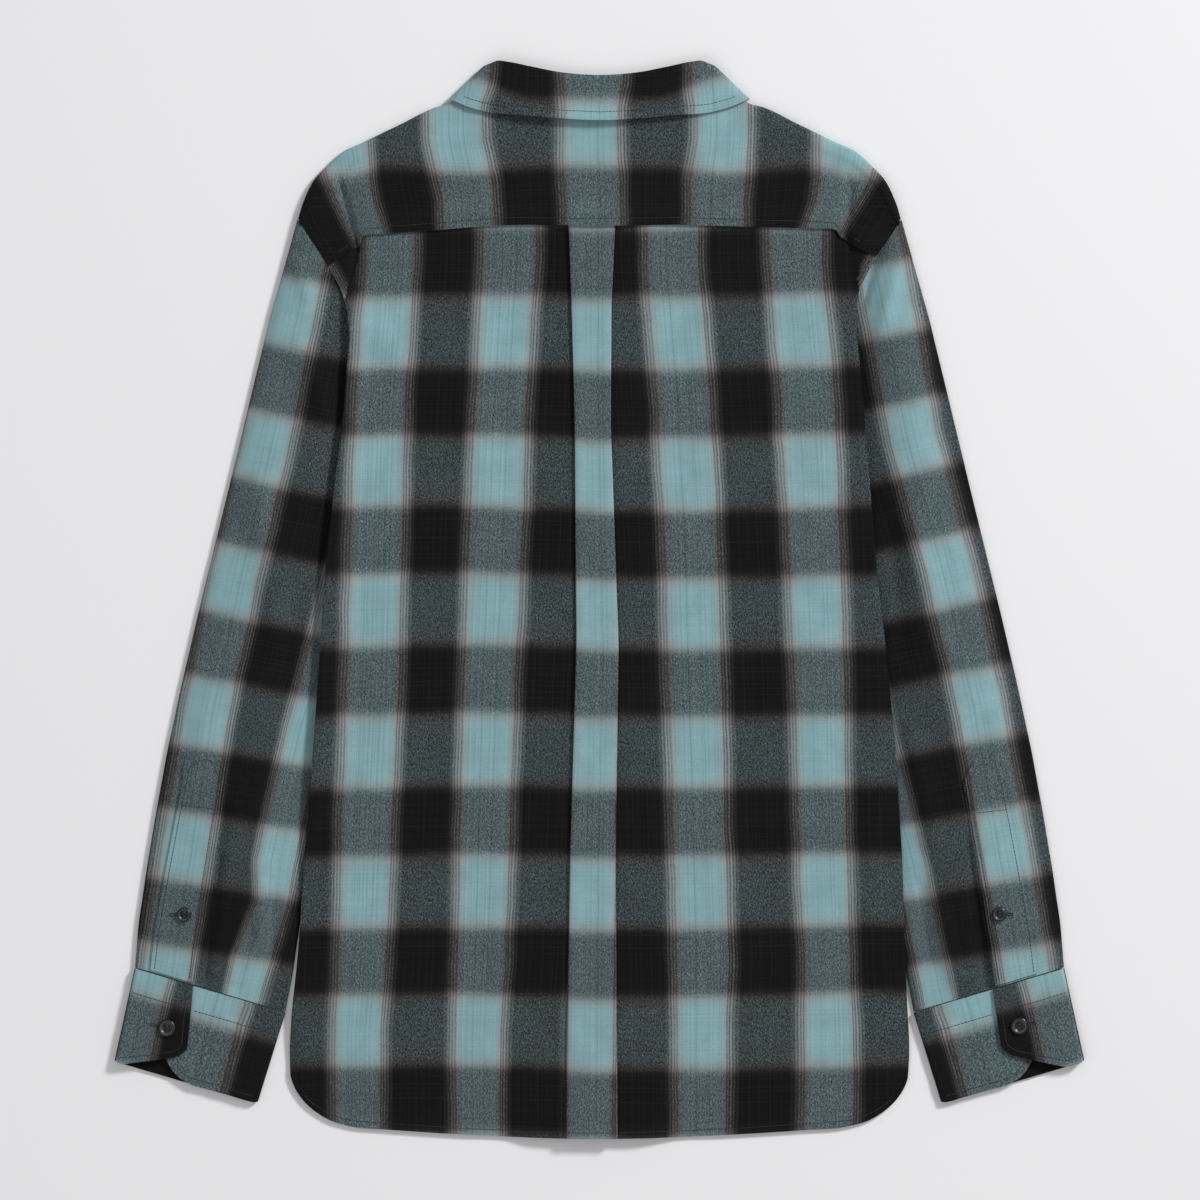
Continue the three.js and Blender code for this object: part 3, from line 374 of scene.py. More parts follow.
def band_number(x, y, table, edges, key="y"):
    """Column number at points of a piece, straight between the band edges of a table."""
    rows = sorted(table, key=lambda row: row[key])
    at = [row[key] for row in rows]
    places = [np.interp(y, at, [row[name] for row in rows]) for name, _ in edges]
    number = edges[0][1] + (x - places[0]) / WARP_REPEAT
    for k in range(len(edges) - 1):
        share = (x - places[k]) / (places[k + 1] - places[k])
        between = edges[k][1] + share * (edges[k + 1][1] - edges[k][1])
        number = np.where(x > places[k], between, number)
    return np.where(x > places[-1], edges[-1][1] + (x - places[-1]) / WARP_REPEAT, number)


BACK_LEFT = [("a0", -2.25), ("a1", -1.75), ("b0", -1.25), ("b1", -0.75)]
BACK_RIGHT = [("c0", 0.75), ("c1", 1.25), ("d0", 1.75), ("d1", 2.25)]


def back_check(grid):
    x, y, layer = grid[..., 0], grid[..., 1], grid[..., 3]
    left = band_number(x, y, BACK_COLUMNS, BACK_LEFT)
    right = band_number(x, y, BACK_COLUMNS, BACK_RIGHT)
    strip_middle = np.interp(y, [-413, -198, -36, 138, 296], [-7.5, -5.5, -2, -5.5, -6])
    strip = (x - strip_middle) / WARP_REPEAT * 1.1
    column = np.where(layer > 1.6 * LAYER, strip, np.where(x < strip_middle, left, right))
    # Beside each armhole the panel is folded, and past the fold its next column shows
    for sign, at, fold in ((-1, (229, 250, 272), (194.6, 188.5, 183.5)), (1, (236, 250, 273), (198.4, 195.6, 191.9))):
        past = (sign * x > np.interp(y, at, fold)) & (y > at[0] - 3)
        column = np.where(past, sign * (2.86 + armhole_distance(np.abs(x), y) / 70), column)
    droop = 2.2 * (layer > 1.6 * LAYER) + 1.2 * np.sin(x / 52 + 0.4) + 1.0 * np.sin(y / 70 + x / 90)
    return np.stack([column, (FIRST_LIGHT_ROW - droop - y) / WEFT_REPEAT], axis=-1)


back_rows = []
for share in BACK_ROWS:
    row = []
    for j in range(2 * len(PANEL_SHARES) + len(back_section(0))):
        hem = hem_height(back_point(j, -380)[0])
        top = yoke_seam(back_point(j, 286)[0]) + YOKE_LAP
        y = lerp(hem, top, share)
        x, layer = back_point(j, y)
        turned_up = 0.55 * (1 - ease(y - hem, 5.6, 8.2))
        row.append((x, y, back_height(x, y) + layer + CLOTH / 2 + turned_up, layer))
    back_rows.append(row)
back_grid = finer(np.array(back_rows), 3.6)


def lie(grid, creases, wave=1.0):
    """Lifts the grid by the creases and a faint unevenness, less near the body's edges."""
    x, y = grid[..., 0], grid[..., 1]
    edge = np.interp(y, [row["y"] for row in BODY_EDGE], [row["left"] for row in BODY_EDGE])
    edge = edge + (232 - edge) * np.clip((y - 216) / 26, 0, 1)
    inside = np.clip((edge - np.abs(x)) / 22, 0, 1)
    grid[..., 2] += (crease_lift(creases, x, y) + wave * loft_wave(x, y)) * inside
    return grid


back_grid = lie(back_grid, BACK_CREASES)
# The left side fold stands off the sleeve under it
from_fold = back_grid[..., 0] + np.interp(back_grid[..., 1], [r["y"] for r in BODY_EDGE], [r["left"] for r in BODY_EDGE])
beside_sleeve = np.clip((back_grid[..., 1] + 220) / 70, 0, 1) * np.clip((236 - back_grid[..., 1]) / 24, 0, 1)
back_grid[..., 2] += 4.2 * np.exp(-((from_fold / 17) ** 2)) * beside_sleeve


def linear(code):
    """Linear colour of an sRGB hex value."""
    parts = [int(code[k : k + 2], 16) / 255 for k in (1, 3, 5)]
    return [p / 12.92 if p <= 0.04045 else ((p + 0.055) / 1.055) ** 2.4 for p in parts] + [1.0]


def node(tree, kind, settings=None, **links):
    """Adds a node with its settings, and links or sets its inputs by name."""
    made = tree.nodes.new(kind)
    for key, value in (settings or {}).items():
        setattr(made, key, value)
    for key, value in links.items():
        socket = made.inputs[int(key[1:])] if key[1:].isdigit() else made.inputs[key.replace("_", " ")]
        if isinstance(value, bpy.types.NodeSocket):
            tree.links.new(value, socket)
        else:
            socket.default_value = value
    return made


# Brushed cotton flannel: a 2/2 twill of teal and black yarns, both sides raised to a short nap. Where a
# teal yarn crosses a black one the eye sees grey-teal speckle. Taupe yarns edge each band.
def band_ramp(tree, number, stops):
    """Yarn colour across a repeat, from stops as places and sRGB colours."""
    shifted = node(tree, "ShaderNodeMath", {"operation": "ADD"}, _0=number, _1=0.5).outputs[0]
    place = node(tree, "ShaderNodeMath", {"operation": "FRACT"}, _0=shifted).outputs[0]
    made = node(tree, "ShaderNodeValToRGB", None, Fac=place)
    ramp = made.color_ramp
    ramp.elements[0].position, ramp.elements[0].color = stops[0][0], linear(stops[0][1])
    ramp.elements[1].position, ramp.elements[1].color = stops[-1][0], linear(stops[-1][1])
    for at, code in stops[1:-1]:
        ramp.elements.new(at).color = linear(code)
    return made.outputs["Color"]


WARP_STOPS = [
    (0.0, "#0e0e0f"), (0.185, "#0e0e0f"), (0.205, "#2d2a2a"), (0.213, "#111112"), (0.232, "#625e5d"),
    (0.24, "#1c1a1a"), (0.256, "#908c8a"), (0.264, "#373434"), (0.279, "#929090"), (0.287, "#524f4e"),
    (0.302, "#8f9192"), (0.326, "#8b9fa1"), (0.356, "#85a8ac"), (0.438, "#83a9ae"), (0.4445, "#6c9095"),
    (0.451, "#83a9ae"), (0.549, "#83a9ae"), (0.5555, "#6c9095"), (0.562, "#83a9ae"), (0.644, "#85a8ac"),
    (0.674, "#8b9fa1"), (0.696, "#8f9192"), (0.706, "#454242"), (0.717, "#929090"), (0.727, "#2e2c2c"),
    (0.741, "#908c8a"), (0.751, "#1c1a1a"), (0.766, "#676362"), (0.776, "#111112"), (0.79, "#383535"),
    (0.806, "#0e0e0f"), (1.0, "#0e0e0f"),
]
WEFT_STOPS = [
    (0.0, "#0e0e0f"), (0.185, "#0e0e0f"), (0.217, "#2d2b2b"), (0.243, "#666262"), (0.27, "#8b8989"),
    (0.296, "#8d9b9d"), (0.335, "#86a7ab"), (0.5, "#83a9ae"), (0.665, "#86a7ab"), (0.704, "#8d9b9d"),
    (0.73, "#8b8989"), (0.757, "#666262"), (0.783, "#2d2b2b"), (0.815, "#0e0e0f"), (1.0, "#0e0e0f"),
]


def flannel():
    material = bpy.data.materials.new("brushed_cotton_flannel")
    material.use_nodes = True
    tree = material.node_tree
    tree.nodes.clear()
    spot = node(tree, "ShaderNodeUVMap", {"uv_map": "check"}).outputs["UV"]
    parts = node(tree, "ShaderNodeSeparateXYZ", None, Vector=spot)
    column, row = parts.outputs["X"], parts.outputs["Y"]
    # The same map in real millimetres of cloth
    cloth = node(
        tree, "ShaderNodeVectorMath", {"operation": "MULTIPLY"}, _0=spot, _1=(WARP_REPEAT, WEFT_REPEAT, 1.0)
    ).outputs["Vector"]
    # Yarns wander a little, so no band edge is ruled
    wander = node(tree, "ShaderNodeTexNoise", {"noise_dimensions": "2D"}, Vector=cloth, Scale=0.02, Detail=2.0)
    drift = node(tree, "ShaderNodeMath", {"operation": "MULTIPLY_ADD"}, _0=wander.outputs[0], _1=0.03, _2=-0.015)
    column_at = node(tree, "ShaderNodeMath", {"operation": "ADD"}, _0=column, _1=drift.outputs[0]).outputs[0]
    row_at = node(tree, "ShaderNodeMath", {"operation": "ADD"}, _0=row, _1=drift.outputs[0]).outputs[0]
    warp = band_ramp(tree, column_at, WARP_STOPS)
    weft = band_ramp(tree, row_at, WEFT_STOPS)
    # Single yarns differ in shade: lines about 1.5 mm apart, stronger in the warp
    yarns, lines = [], []
    for number, repeat, strength in ((column, WARP_REPEAT, 0.34), (row, WEFT_REPEAT, 0.17)):
        place = node(tree, "ShaderNodeMath", {"operation": "MULTIPLY"}, _0=number, _1=repeat).outputs[0]
        line = node(tree, "ShaderNodeTexNoise", {"noise_dimensions": "1D"}, W=place, Scale=0.62, Detail=1.0)
        shade = node(
            tree, "ShaderNodeMapRange", None,
            Value=line.outputs[0], From_Min=0.3, From_Max=0.7, To_Min=1 - strength / 2, To_Max=1 + strength / 3,
        )
        yarns.append(shade.outputs[0])
        lines.append(line.outputs[0])
    warp = node(tree, "ShaderNodeVectorMath", {"operation": "SCALE"}, _0=warp, Scale=yarns[0]).outputs[0]
    weft = node(tree, "ShaderNodeVectorMath", {"operation": "SCALE"}, _0=weft, Scale=yarns[1]).outputs[0]
    # Speckle of the crossed colours, drawn at 1.3 mm because single 0.5 mm crossings are too fine to show
    slanted = node(tree, "ShaderNodeMapping", None, Vector=cloth, Rotation=(0, 0, math.radians(-38)),
                   Scale=(1.0, 0.5, 1.0)).outputs[0]
    speckle = node(tree, "ShaderNodeTexNoise", {"noise_dimensions": "2D"}, Vector=slanted, Scale=1.2, Detail=4.0,
                   Roughness=0.75, Distortion=0.6)
    share = node(tree, "ShaderNodeMapRange", None, Value=speckle.outputs[0], From_Min=0.33, From_Max=0.67,
                 To_Min=0.0, To_Max=0.78)
    # Nap mixes colours as the eye does, so the mix runs in display values and is turned back after it
    seen = [node(tree, "ShaderNodeGamma", None, Color=c, Gamma=1 / 2.2).outputs[0] for c in (warp, weft)]
    mixed = node(tree, "ShaderNodeMix", {"data_type": "RGBA"}, _0=share.outputs[0], _6=seen[0], _7=seen[1])
    # The darker yarn's fibres shade the lighter one, so crossings look darker than their mean
    darker = node(tree, "ShaderNodeVectorMath", {"operation": "MINIMUM"}, _0=seen[0], _1=seen[1])
    shaded = node(tree, "ShaderNodeMix", {"data_type": "RGBA"}, _0=0.2, _6=mixed.outputs[2], _7=darker.outputs[0])
    # and greyer too
    apart = node(tree, "ShaderNodeVectorMath", {"operation": "DISTANCE"}, _0=seen[0], _1=seen[1]).outputs["Value"]
    tint = node(tree, "ShaderNodeMapRange", None, Value=apart, From_Min=0.1, From_Max=1.0, To_Min=1.0, To_Max=0.74)
    greyer = node(tree, "ShaderNodeHueSaturation", None, Saturation=tint.outputs[0], Color=shaded.outputs[2])
    colour = node(tree, "ShaderNodeGamma", None, Color=greyer.outputs[0], Gamma=2.2).outputs[0]
    # Stray pale fibres draw a faint grid of yarns over the black
    grid_of = node(tree, "ShaderNodeMath", {"operation": "MAXIMUM"}, _0=lines[0], _1=lines[1]).outputs[0]
    stray = node(tree, "ShaderNodeMapRange", None, Value=grid_of, From_Min=0.42, From_Max=0.75, To_Min=0.0,
                 To_Max=0.0045)
    colour = node(tree, "ShaderNodeVectorMath", {"operation": "ADD"}, _0=colour, _1=stray.outputs[0]).outputs[0]
    # Nap lies unevenly in soft patches a few centimetres wide
    patches = node(tree, "ShaderNodeTexNoise", {"noise_dimensions": "2D"}, Vector=cloth, Scale=0.045, Detail=3.0)
    nap_patches_and_rim_highlight = node(tree, "ShaderNodeMapRange", None, Value=patches.outputs[0], From_Min=0.3, From_Max=0.7,
                To_Min=0.93, To_Max=1.06)
    colour = node(tree, "ShaderNodeVectorMath", {"operation": "SCALE"}, _0=colour, Scale=nap_patches_and_rim_highlight.outputs[0]).outputs[0]
    # Relief: twill lines 1.1 mm apart under the raised fibres
    turned = node(tree, "ShaderNodeMapping", None, Vector=cloth, Rotation=(0, 0, math.radians(52)))
    twill = node(tree, "ShaderNodeTexWave", {"wave_type": "BANDS"}, Vector=turned.outputs[0],
                 Scale=0.29, Distortion=1.4, Detail=2.0, Detail_Scale=1.5)
    fibres = node(tree, "ShaderNodeTexNoise", {"noise_dimensions": "2D"}, Vector=cloth, Scale=1.4, Detail=4.0,
                  Roughness=0.7)
    twill_low = node(tree, "ShaderNodeMath", {"operation": "MULTIPLY"}, _0=twill.outputs[1], _1=0.35).outputs[0]
    relief = node(tree, "ShaderNodeMath", {"operation": "ADD"}, _0=twill_low, _1=fibres.outputs[0]).outputs[0]
    bump = node(tree, "ShaderNodeBump", None, Height=relief, Strength=0.55, Distance=0.0005)
    shader = node(tree, "ShaderNodeBsdfPrincipled", None, Base_Color=colour, Normal=bump.outputs[0], Roughness=0.94)
    shader.inputs["Specular IOR Level"].default_value = 0.12
    shader.inputs["Sheen Weight"].default_value = 0.05
    shader.inputs["Sheen Roughness"].default_value = 0.45
    shader.inputs["Sheen Tint"].default_value = linear("#dfe6e8")
    node(tree, "ShaderNodeOutputMaterial", None, Surface=shader.outputs[0])
    return material


flannel_cloth = flannel()


def place(piece, material, slot, *nodes):
    """Gives a piece its finish, attaches it to the root body and hides the solids it stands for."""
    if not piece.data.materials:
        piece.data.materials.append(material)
    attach(piece, "root")
    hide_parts(*nodes)
    return piece


back_panel = sewn_shell("back_panel_cloth", back_grid[..., :3], back_check(back_grid), 0.9)
place(back_panel, flannel_cloth, "check_flannel", "back_panel")


# FRONTS. Two cuts of the same flannel, lapped left over right at the centre and buttoned. The shirt
# lies on them, so they are plain and flat, and rise only over the laps, sleeves and collar points.
COLLAR_CLOTH = 1.8
STAND_HEIGHT = 30
STAND_FOOT = 284.5
COLLAR_AXIS = 4.9
COLLAR_TURN = 4.0

# Collar from the centre back to one point: fold line, free edge, turn at the side and rise
COLLAR = [
    {"fold_x": 0, "fold_y": 401.5, "edge_x": 0, "edge_y": 366.5, "turn": 0, "rise": 1.2},
    {"fold_x": 28.7, "fold_y": 403.5, "edge_x": 28.7, "edge_y": 367.8, "turn": 0, "rise": 1.2},
    {"fold_x": 53.2, "fold_y": 408.2, "edge_x": 60.8, "edge_y": 370.6, "turn": 0, "rise": 1},
    {"fold_x": 70, "fold_y": 411.6, "edge_x": 86, "edge_y": 373, "turn": 0, "rise": 0.5},
    {"fold_x": 78.4, "fold_y": 412.1, "edge_x": 101.4, "edge_y": 377.3, "turn": 0, "rise": 0.6},
    {"fold_x": 86.8, "fold_y": 409, "edge_x": 114.4, "edge_y": 382.7, "turn": 90, "rise": 0.3},
    {"fold_x": 80.7, "fold_y": 407.4, "edge_x": 105.2, "edge_y": 377.6, "turn": 180, "rise": 0},
    {"fold_x": 70, "fold_y": 389.8, "edge_x": 94.5, "edge_y": 351.6, "turn": 180, "rise": 0},
    {"fold_x": 53.2, "fold_y": 366.9, "edge_x": 82.2, "edge_y": 317.2, "turn": 180, "rise": 0},
    {"fold_x": 30.2, "fold_y": 340.1, "edge_x": 64.6, "edge_y": 286.6, "turn": 180, "rise": 0},
    {"fold_x": 7.3, "fold_y": 314.8, "edge_x": 39.4, "edge_y": 258.2, "turn": 180, "rise": 0},
]


def collar_frames():
    rows = []
    for k, row in enumerate(COLLAR):
        last = COLLAR[k - 1] if k else row
        if row["turn"] != last["turn"]:
            for share in (1 / 3, 2 / 3):
                turn = lerp(last["turn"], row["turn"], share)
                lean = math.sin(math.radians(turn))
                swing = lean if row["turn"] == 90 else 1 - lean
                mixed = {key: lerp(last[key], row[key], swing) for key in row}
                rows.append({**mixed, "turn": turn})
        rows.append(row)
    frames = []
    for row in rows:
        across_x, across_y = row["edge_x"] - row["fold_x"], row["edge_y"] - row["fold_y"]
        width = math.hypot(across_x, across_y)
        frames.append({**row, "width": width, "dir_x": across_x / width, "dir_y": across_y / width})
    return frames


FRAMES = collar_frames()
FIRST_UNDER = next(k for k, row in enumerate(FRAMES) if row["turn"] == 180)
NECK_CORNER = FIRST_UNDER + 1
CREASE = next(row for row in FRAMES if row["turn"] == 90)

# Shoulder line from the armhole to the neck, with where each point meets the yoke's two seams
SHOULDER = [
    {"x": 230.6, "y": 291.8, "back_x": 207.1, "front_x": 215.2, "front_y": 268, "radius": 2.9, "axis": 3.4},
    {"x": 226.8, "y": 304.2, "back_x": 199, "front_x": 211, "front_y": 284, "radius": 2.9, "axis": 3.4},
    {"x": 217.6, "y": 322.5, "back_x": 190, "front_x": 202, "front_y": 300.5, "radius": 2.9, "axis": 3.4},
    {"x": 208.5, "y": 332, "back_x": 184.0, "front_x": 194.5, "front_y": 308, "radius": 2.9, "axis": 3.4},
    {"x": 199.3, "y": 340.9, "back_x": 181.2, "front_x": 187, "front_y": 315, "radius": 2.9, "axis": 3.4},
    {"x": 180.9, "y": 350.1, "back_x": 163, "front_x": 168, "front_y": 324.6, "radius": 2.9, "axis": 3.4},
    {"x": 152.6, "y": 363.8, "back_x": 140, "front_x": 140, "front_y": 338.5, "radius": 2.9, "axis": 3.4},
    {"x": 123.5, "y": 377.6, "back_x": 115, "front_x": 112, "front_y": 352.5, "radius": 2.9, "axis": 3.4},
    {"x": 114, "y": 380, "back_x": 109, "front_x": 100, "front_y": 359.5, "radius": 0.85, "axis": 4.9},
]


def collar_point(row, across, out, sign):
    """Point of the collar, across from the fold line and out from the leaf's middle."""
    angle = math.radians(row["turn"])
    x = row["fold_x"] + across * row["dir_x"] - out * math.sin(angle) * row["dir_y"]
    y = row["fold_y"] + across * row["dir_y"] + out * math.sin(angle) * row["dir_x"]
    z = COLLAR_AXIS + (COLLAR_TURN + out) * math.cos(angle) + row["rise"] * across / row["width"]
    return (sign * x, y, z)


def neck_point(row):
    return collar_point(row, STAND_HEIGHT + 1.5 * SEAM_GAP, -COLLAR_LIP, 1)


def front_top():
    line = [(-FRONT_LAP, STAND_FOOT - SEAM_GAP), (FRONT_LAP, STAND_FOOT - SEAM_GAP)]
    line += [neck_point(row)[:2] for row in FRAMES[: NECK_CORNER - 1 : -1]]
    line += [(row["front_x"], row["front_y"] - SEAM_GAP) for row in SHOULDER[::-1]]
    fine = [line[0]]
    for start, end in zip(line, line[1:]):
        count = math.ceil((end[0] - start[0]) / 12)
        fine += [(lerp(start[0], end[0], n / count), lerp(start[1], end[1], n / count)) for n in range(1, count + 1)]
    return fine


FRONT_ROWS = [0, 0.04, 0.14, 0.3, 0.5, 0.66, 0.74, 0.8, 0.85, 0.9, 0.93, 0.96, 1]


def front_grid(side, sign):
    top_line = front_top()
    first, last = top_line[0][0], top_line[-1][0]
    rows = []
    for share in FRONT_ROWS:
        row = []
        for top_x, top_y in top_line:
            t = (top_x - first) / (last - first)
            hem = hem_height(lerp(-FRONT_LAP, body_edge(-364, side) - 1, t)) + 2
            y = lerp(hem, top_y, share)
            shift = (top_x - lerp(-FRONT_LAP, panel_edge(top_y, side) - 1, t)) * ease(share, 0.3, 1)
            x = min(lerp(-FRONT_LAP, panel_edge(y, side) - 1, t) + shift, panel_edge(y, side) - SEAM_GAP)
            row.append((sign * x, y, front_lower(sign * x, y, sign) + CLOTH / 2, 0))
        rows.append(row)
    return np.array(rows)


fronts = []
for side, sign in (("left", -1), ("right", 1)):
    grid = finer(front_grid(side, sign), 6)
    check = np.stack([grid[..., 0] / WARP_REPEAT, (FIRST_LIGHT_ROW - grid[..., 1]) / WEFT_REPEAT], axis=-1)
    front = sewn_shell(f"front_{side}_cloth", grid[..., :3], check, 0.9)
    place(front, flannel_cloth, "check_flannel", f"front_{side}")
    fronts.append(front)


# YOKE. One cut across the shoulders, its lower edge lapped over the back panel and topstitched,
# wrapped over each shoulder to its front seam and round the neck to the collar stand.
CENTRE_STRIP = [-45, -33, -24, -15, -6, 3, 12, 22, 33, 45]
NECK_SEAM = [
    {"index": 0, "x": 0},
    {"index": 1, "x": 26},
    {"index": 2, "x": 50},
    {"index": 3, "x": 67},
    {"index": 4, "x": 76},
    {"index": NECK_CORNER, "x": 103},
]
NECK_TURN = COLLAR_TURN - COLLAR_LIP - 1.5 * GAP


def yoke_middle(x, y):
    above = y - yoke_seam(x)
    inside = min(x - look(PLEAT, "y", y, "left") + 14, look(PLEAT, "y", y, "right") + 14 - x)
    over = LAYER + 2 * GAP + 2 * LAYER * ease(inside, 0, 12)
    return back_height(x, y) + over * (1 - ease(above, YOKE_LAP + 1, YOKE_LAP + 12)) + CLOTH / 2


def yoke_column(c, sign):
    """Middle points of one column, from the back seam over the shoulder to its cut edge."""
    seam_y = yoke_seam(sign * c["seam_x"])
    run = math.hypot(c["axis_x"] - c["seam_x"], c["axis_y"] - seam_y)
    steps = [0, 2.5, 5.4, YOKE_LAP + 1, YOKE_LAP + 8]
    steps += [lerp(YOKE_LAP + 8, run, share) for share in (0.2, 0.4, 0.6, 0.8, 1)]
    path = []
    for distance in steps:
        x = lerp(c["seam_x"], c["axis_x"], distance / run)
        y = lerp(seam_y, c["axis_y"], distance / run)
        if c["seam_x"] > SHOULDER[1]["back_x"] + 1:
            x = max(x, look(ARMHOLE, "y", y, "x") - ARMHOLE_GAP * 0.6)
        z = lerp(yoke_middle(sign * x, y), c["centre"] + c["radius"], ease(distance / run, 0.55, 1))
        path.append((sign * x, y, z))
    for step in (30, 60, 90, 120, 150, 180):
        swing = c["radius"] * math.sin(math.radians(step))
        z = c["centre"] + c["radius"] * math.cos(math.radians(step))
        path.append((sign * (c["axis_x"] + c["out_x"] * swing), c["axis_y"] + c["out_y"] * swing, z))
    for share in (0.35, 1):
        x, y = lerp(c["axis_x"], c["end_x"], share), lerp(c["axis_y"], c["end_y"], share)
        z = lerp(c["centre"] - c["radius"], front_lower(sign * x, y, sign) + CLOTH / 2, ease(share, 0, 1))
        path.append((sign * x, y, z))
    if c["end_angle"] is None:
        return path
    # Ends at the neck: points past the cut edge are drawn back before it
    lengths = [0.0]
    for start, end in zip(path, path[1:]):
        lengths.append(lengths[-1] + math.dist(start, end))
    total = min(run + math.radians(c["radius"] * c["end_angle"]), lengths[-1])
    cut = []
    for k in range(len(path)):
        wanted = min(lengths[k], total - (len(path) - 1 - k) * 0.5)
        low = max(n for n in range(len(path) - 1) if lengths[n] <= wanted or n == 0)
        t = (wanted - lengths[low]) / (lengths[low + 1] - lengths[low])
        cut.append(tuple(lerp(a, b, t) for a, b in zip(path[low], path[low + 1])))
    return cut


def yoke_columns():
    columns = []
    for row in SHOULDER:
        seam_y = yoke_seam(row["back_x"])
        length = math.hypot(row["x"] - row["back_x"], row["y"] - seam_y)
        out_x, out_y = (row["x"] - row["back_x"]) / length, (row["y"] - seam_y) / length
        inset = row["radius"] + CLOTH / 2
        columns.append({
            "seam_x": row["back_x"], "axis_x": row["x"] - out_x * inset, "axis_y": row["y"] - out_y * inset,
            "out_x": out_x, "out_y": out_y, "radius": row["radius"], "centre": row["axis"],
            "end_angle": None, "end_x": row["front_x"], "end_y": row["front_y"],
        })
    crease_x, crease_y, _ = neck_point(CREASE)
    axis_x, axis_y = crease_x + NECK_TURN * CREASE["dir_y"], crease_y - NECK_TURN * CREASE["dir_x"]
    for k in range(NECK_CORNER, -1, -1):
        x, y, z = neck_point(FRAMES[k])
        turned = FRAMES[k]["turn"] > 0
        columns.append({
            "seam_x": look(NECK_SEAM, "index", k, "x"),
            "axis_x": axis_x - (NECK_CORNER - k) * 0.35 if turned else x,
            "axis_y": axis_y - (NECK_CORNER - k) * 0.05 if turned else y,
            "out_x": -CREASE["dir_y"] if turned else 0, "out_y": CREASE["dir_x"] if turned else 0,
            "radius": NECK_TURN if turned else 0.01, "centre": COLLAR_AXIS if turned else z,
            "end_angle": FRAMES[k]["turn"] if k < FIRST_UNDER else None, "end_x": x, "end_y": y,
        })
    return columns


def centre_column(reach):
    index = float(np.interp(reach, [row["x"] for row in NECK_SEAM], [row["index"] for row in NECK_SEAM]))
    low = int(index)
    row = {key: lerp(FRAMES[low][key], FRAMES[low + 1][key], index - low) for key in FRAMES[low]}
    x, y, z = neck_point(row)
    return {
        "seam_x": reach, "axis_x": x, "axis_y": y, "out_x": 0, "out_y": 0, "radius": 0.01, "centre": z,
        "end_angle": 0, "end_x": x, "end_y": y,
    }


outer = [column for column in yoke_columns() if column["seam_x"] > CENTRE_STRIP[-1] + 2]
yoke_paths = [yoke_column(column, -1) for column in outer]
yoke_paths += [yoke_column(centre_column(abs(x)), -1 if x < 0 else 1) for x in CENTRE_STRIP]
yoke_paths += [yoke_column(column, 1) for column in outer[::-1]]
yoke_grid = np.array([[(*point, 0) for point in path] for path in yoke_paths])
yoke_grid = finer(yoke_grid, 3.2)

YOKE_COLUMNS = [
    {"y": 352, "o": -219, "l": -173.5, "a0": -135, "a1": -84, "b0": -32, "b1": 18, "c0": 71, "c1": 118, "r": 164.5, "q": 219},
    {"y": 321, "o": -211, "l": -171.5, "a0": -129, "a1": -77, "b0": -31.5, "b1": 20.5, "c0": 65, "c1": 117, "r": 163.5, "q": 211},
    {"y": 305, "o": -204, "l": -169.5, "a0": -124.5, "a1": -76, "b0": -30.5, "b1": 20, "c0": 65, "c1": 115.5, "r": 161.5, "q": 202},
    {"y": 286, "o": -195, "l": -163.5, "a0": -124, "a1": -74.5, "b0": -30.5, "b1": 20, "c0": 64.5, "c1": 116.5, "r": 155, "q": 190},
    {"y": 262, "o": -180.5, "l": -157, "a0": -124, "a1": -74.5, "b0": -30.5, "b1": 20, "c0": 64.5, "c1": 116.5, "r": 150, "q": 177},
]
YOKE_BANDS = [
    ("o", -2.25), ("l", -1.75), ("a0", -1.25), ("a1", -0.75), ("b0", -0.25), ("b1", 0.25), ("c0", 0.75), ("c1", 1.25),
    ("r", 1.75), ("q", 2.25),
]


def yoke_check(grid):
    x, y = grid[..., 0], grid[..., 1]
    column = band_number(x, y, YOKE_COLUMNS, YOKE_BANDS)
    low = 4.5 * np.exp(-(((np.abs(x) - 100) / 34) ** 2)) + 6 * np.clip((np.abs(x) - 168) / 20, 0, 1)
    row = (358.5 - low - y) / WEFT_REPEAT
    # Towards the armhole the yoke is drawn down, so its dark row reaches the seam there
    drawn = 1 - 0.3 * np.clip((np.abs(x) - 150) / 50, 0, 1)
    return np.stack([column, np.where(row > 0.25, 0.25 + (row - 0.25) * drawn, row)], axis=-1)


upper = yoke_grid[..., 2] > 4.5
lifted = lie(yoke_grid.copy(), BACK_CREASES)
yoke_grid = np.where(upper[..., None], lifted, yoke_grid)
yoke = sewn_shell("yoke_cloth", yoke_grid[..., :3], yoke_check(yoke_grid), 0.9)
place(yoke, flannel_cloth, "check_flannel", "yoke")


# COLLAR. A leaf of two cloths with interlining, one ribbon from point to point folded over its top
# edge, sewn into a stand that is buttoned at the neck. Laid face down, its points lie under the fronts.
LIP_REACH = 5.5


def leaf_section(width):
    fold, radius = (COLLAR_CLOTH + COLLAR_LIP) / 2, COLLAR_LIP / 2
    section = [(LIP_REACH, -COLLAR_LIP)]
    for step in (0, 30, 60, 90, 120, 150, 180):
        angle = math.radians(step)
        section.append((fold - radius * math.sin(angle), -radius * (1 + math.cos(angle))))
    return section + [(width * share, 0) for share in (0.2, 0.4, 0.6, 0.8, 0.94, 1)]


leaf_halves = [
    [[(*collar_point(row, a, n, sign), a) for a, n in leaf_section(row["width"])] for row in FRAMES]
    for sign in (-1, 1)
]
leaf_grid = finer(np.array(leaf_halves[0][::-1] + leaf_halves[1][1:]), 3)
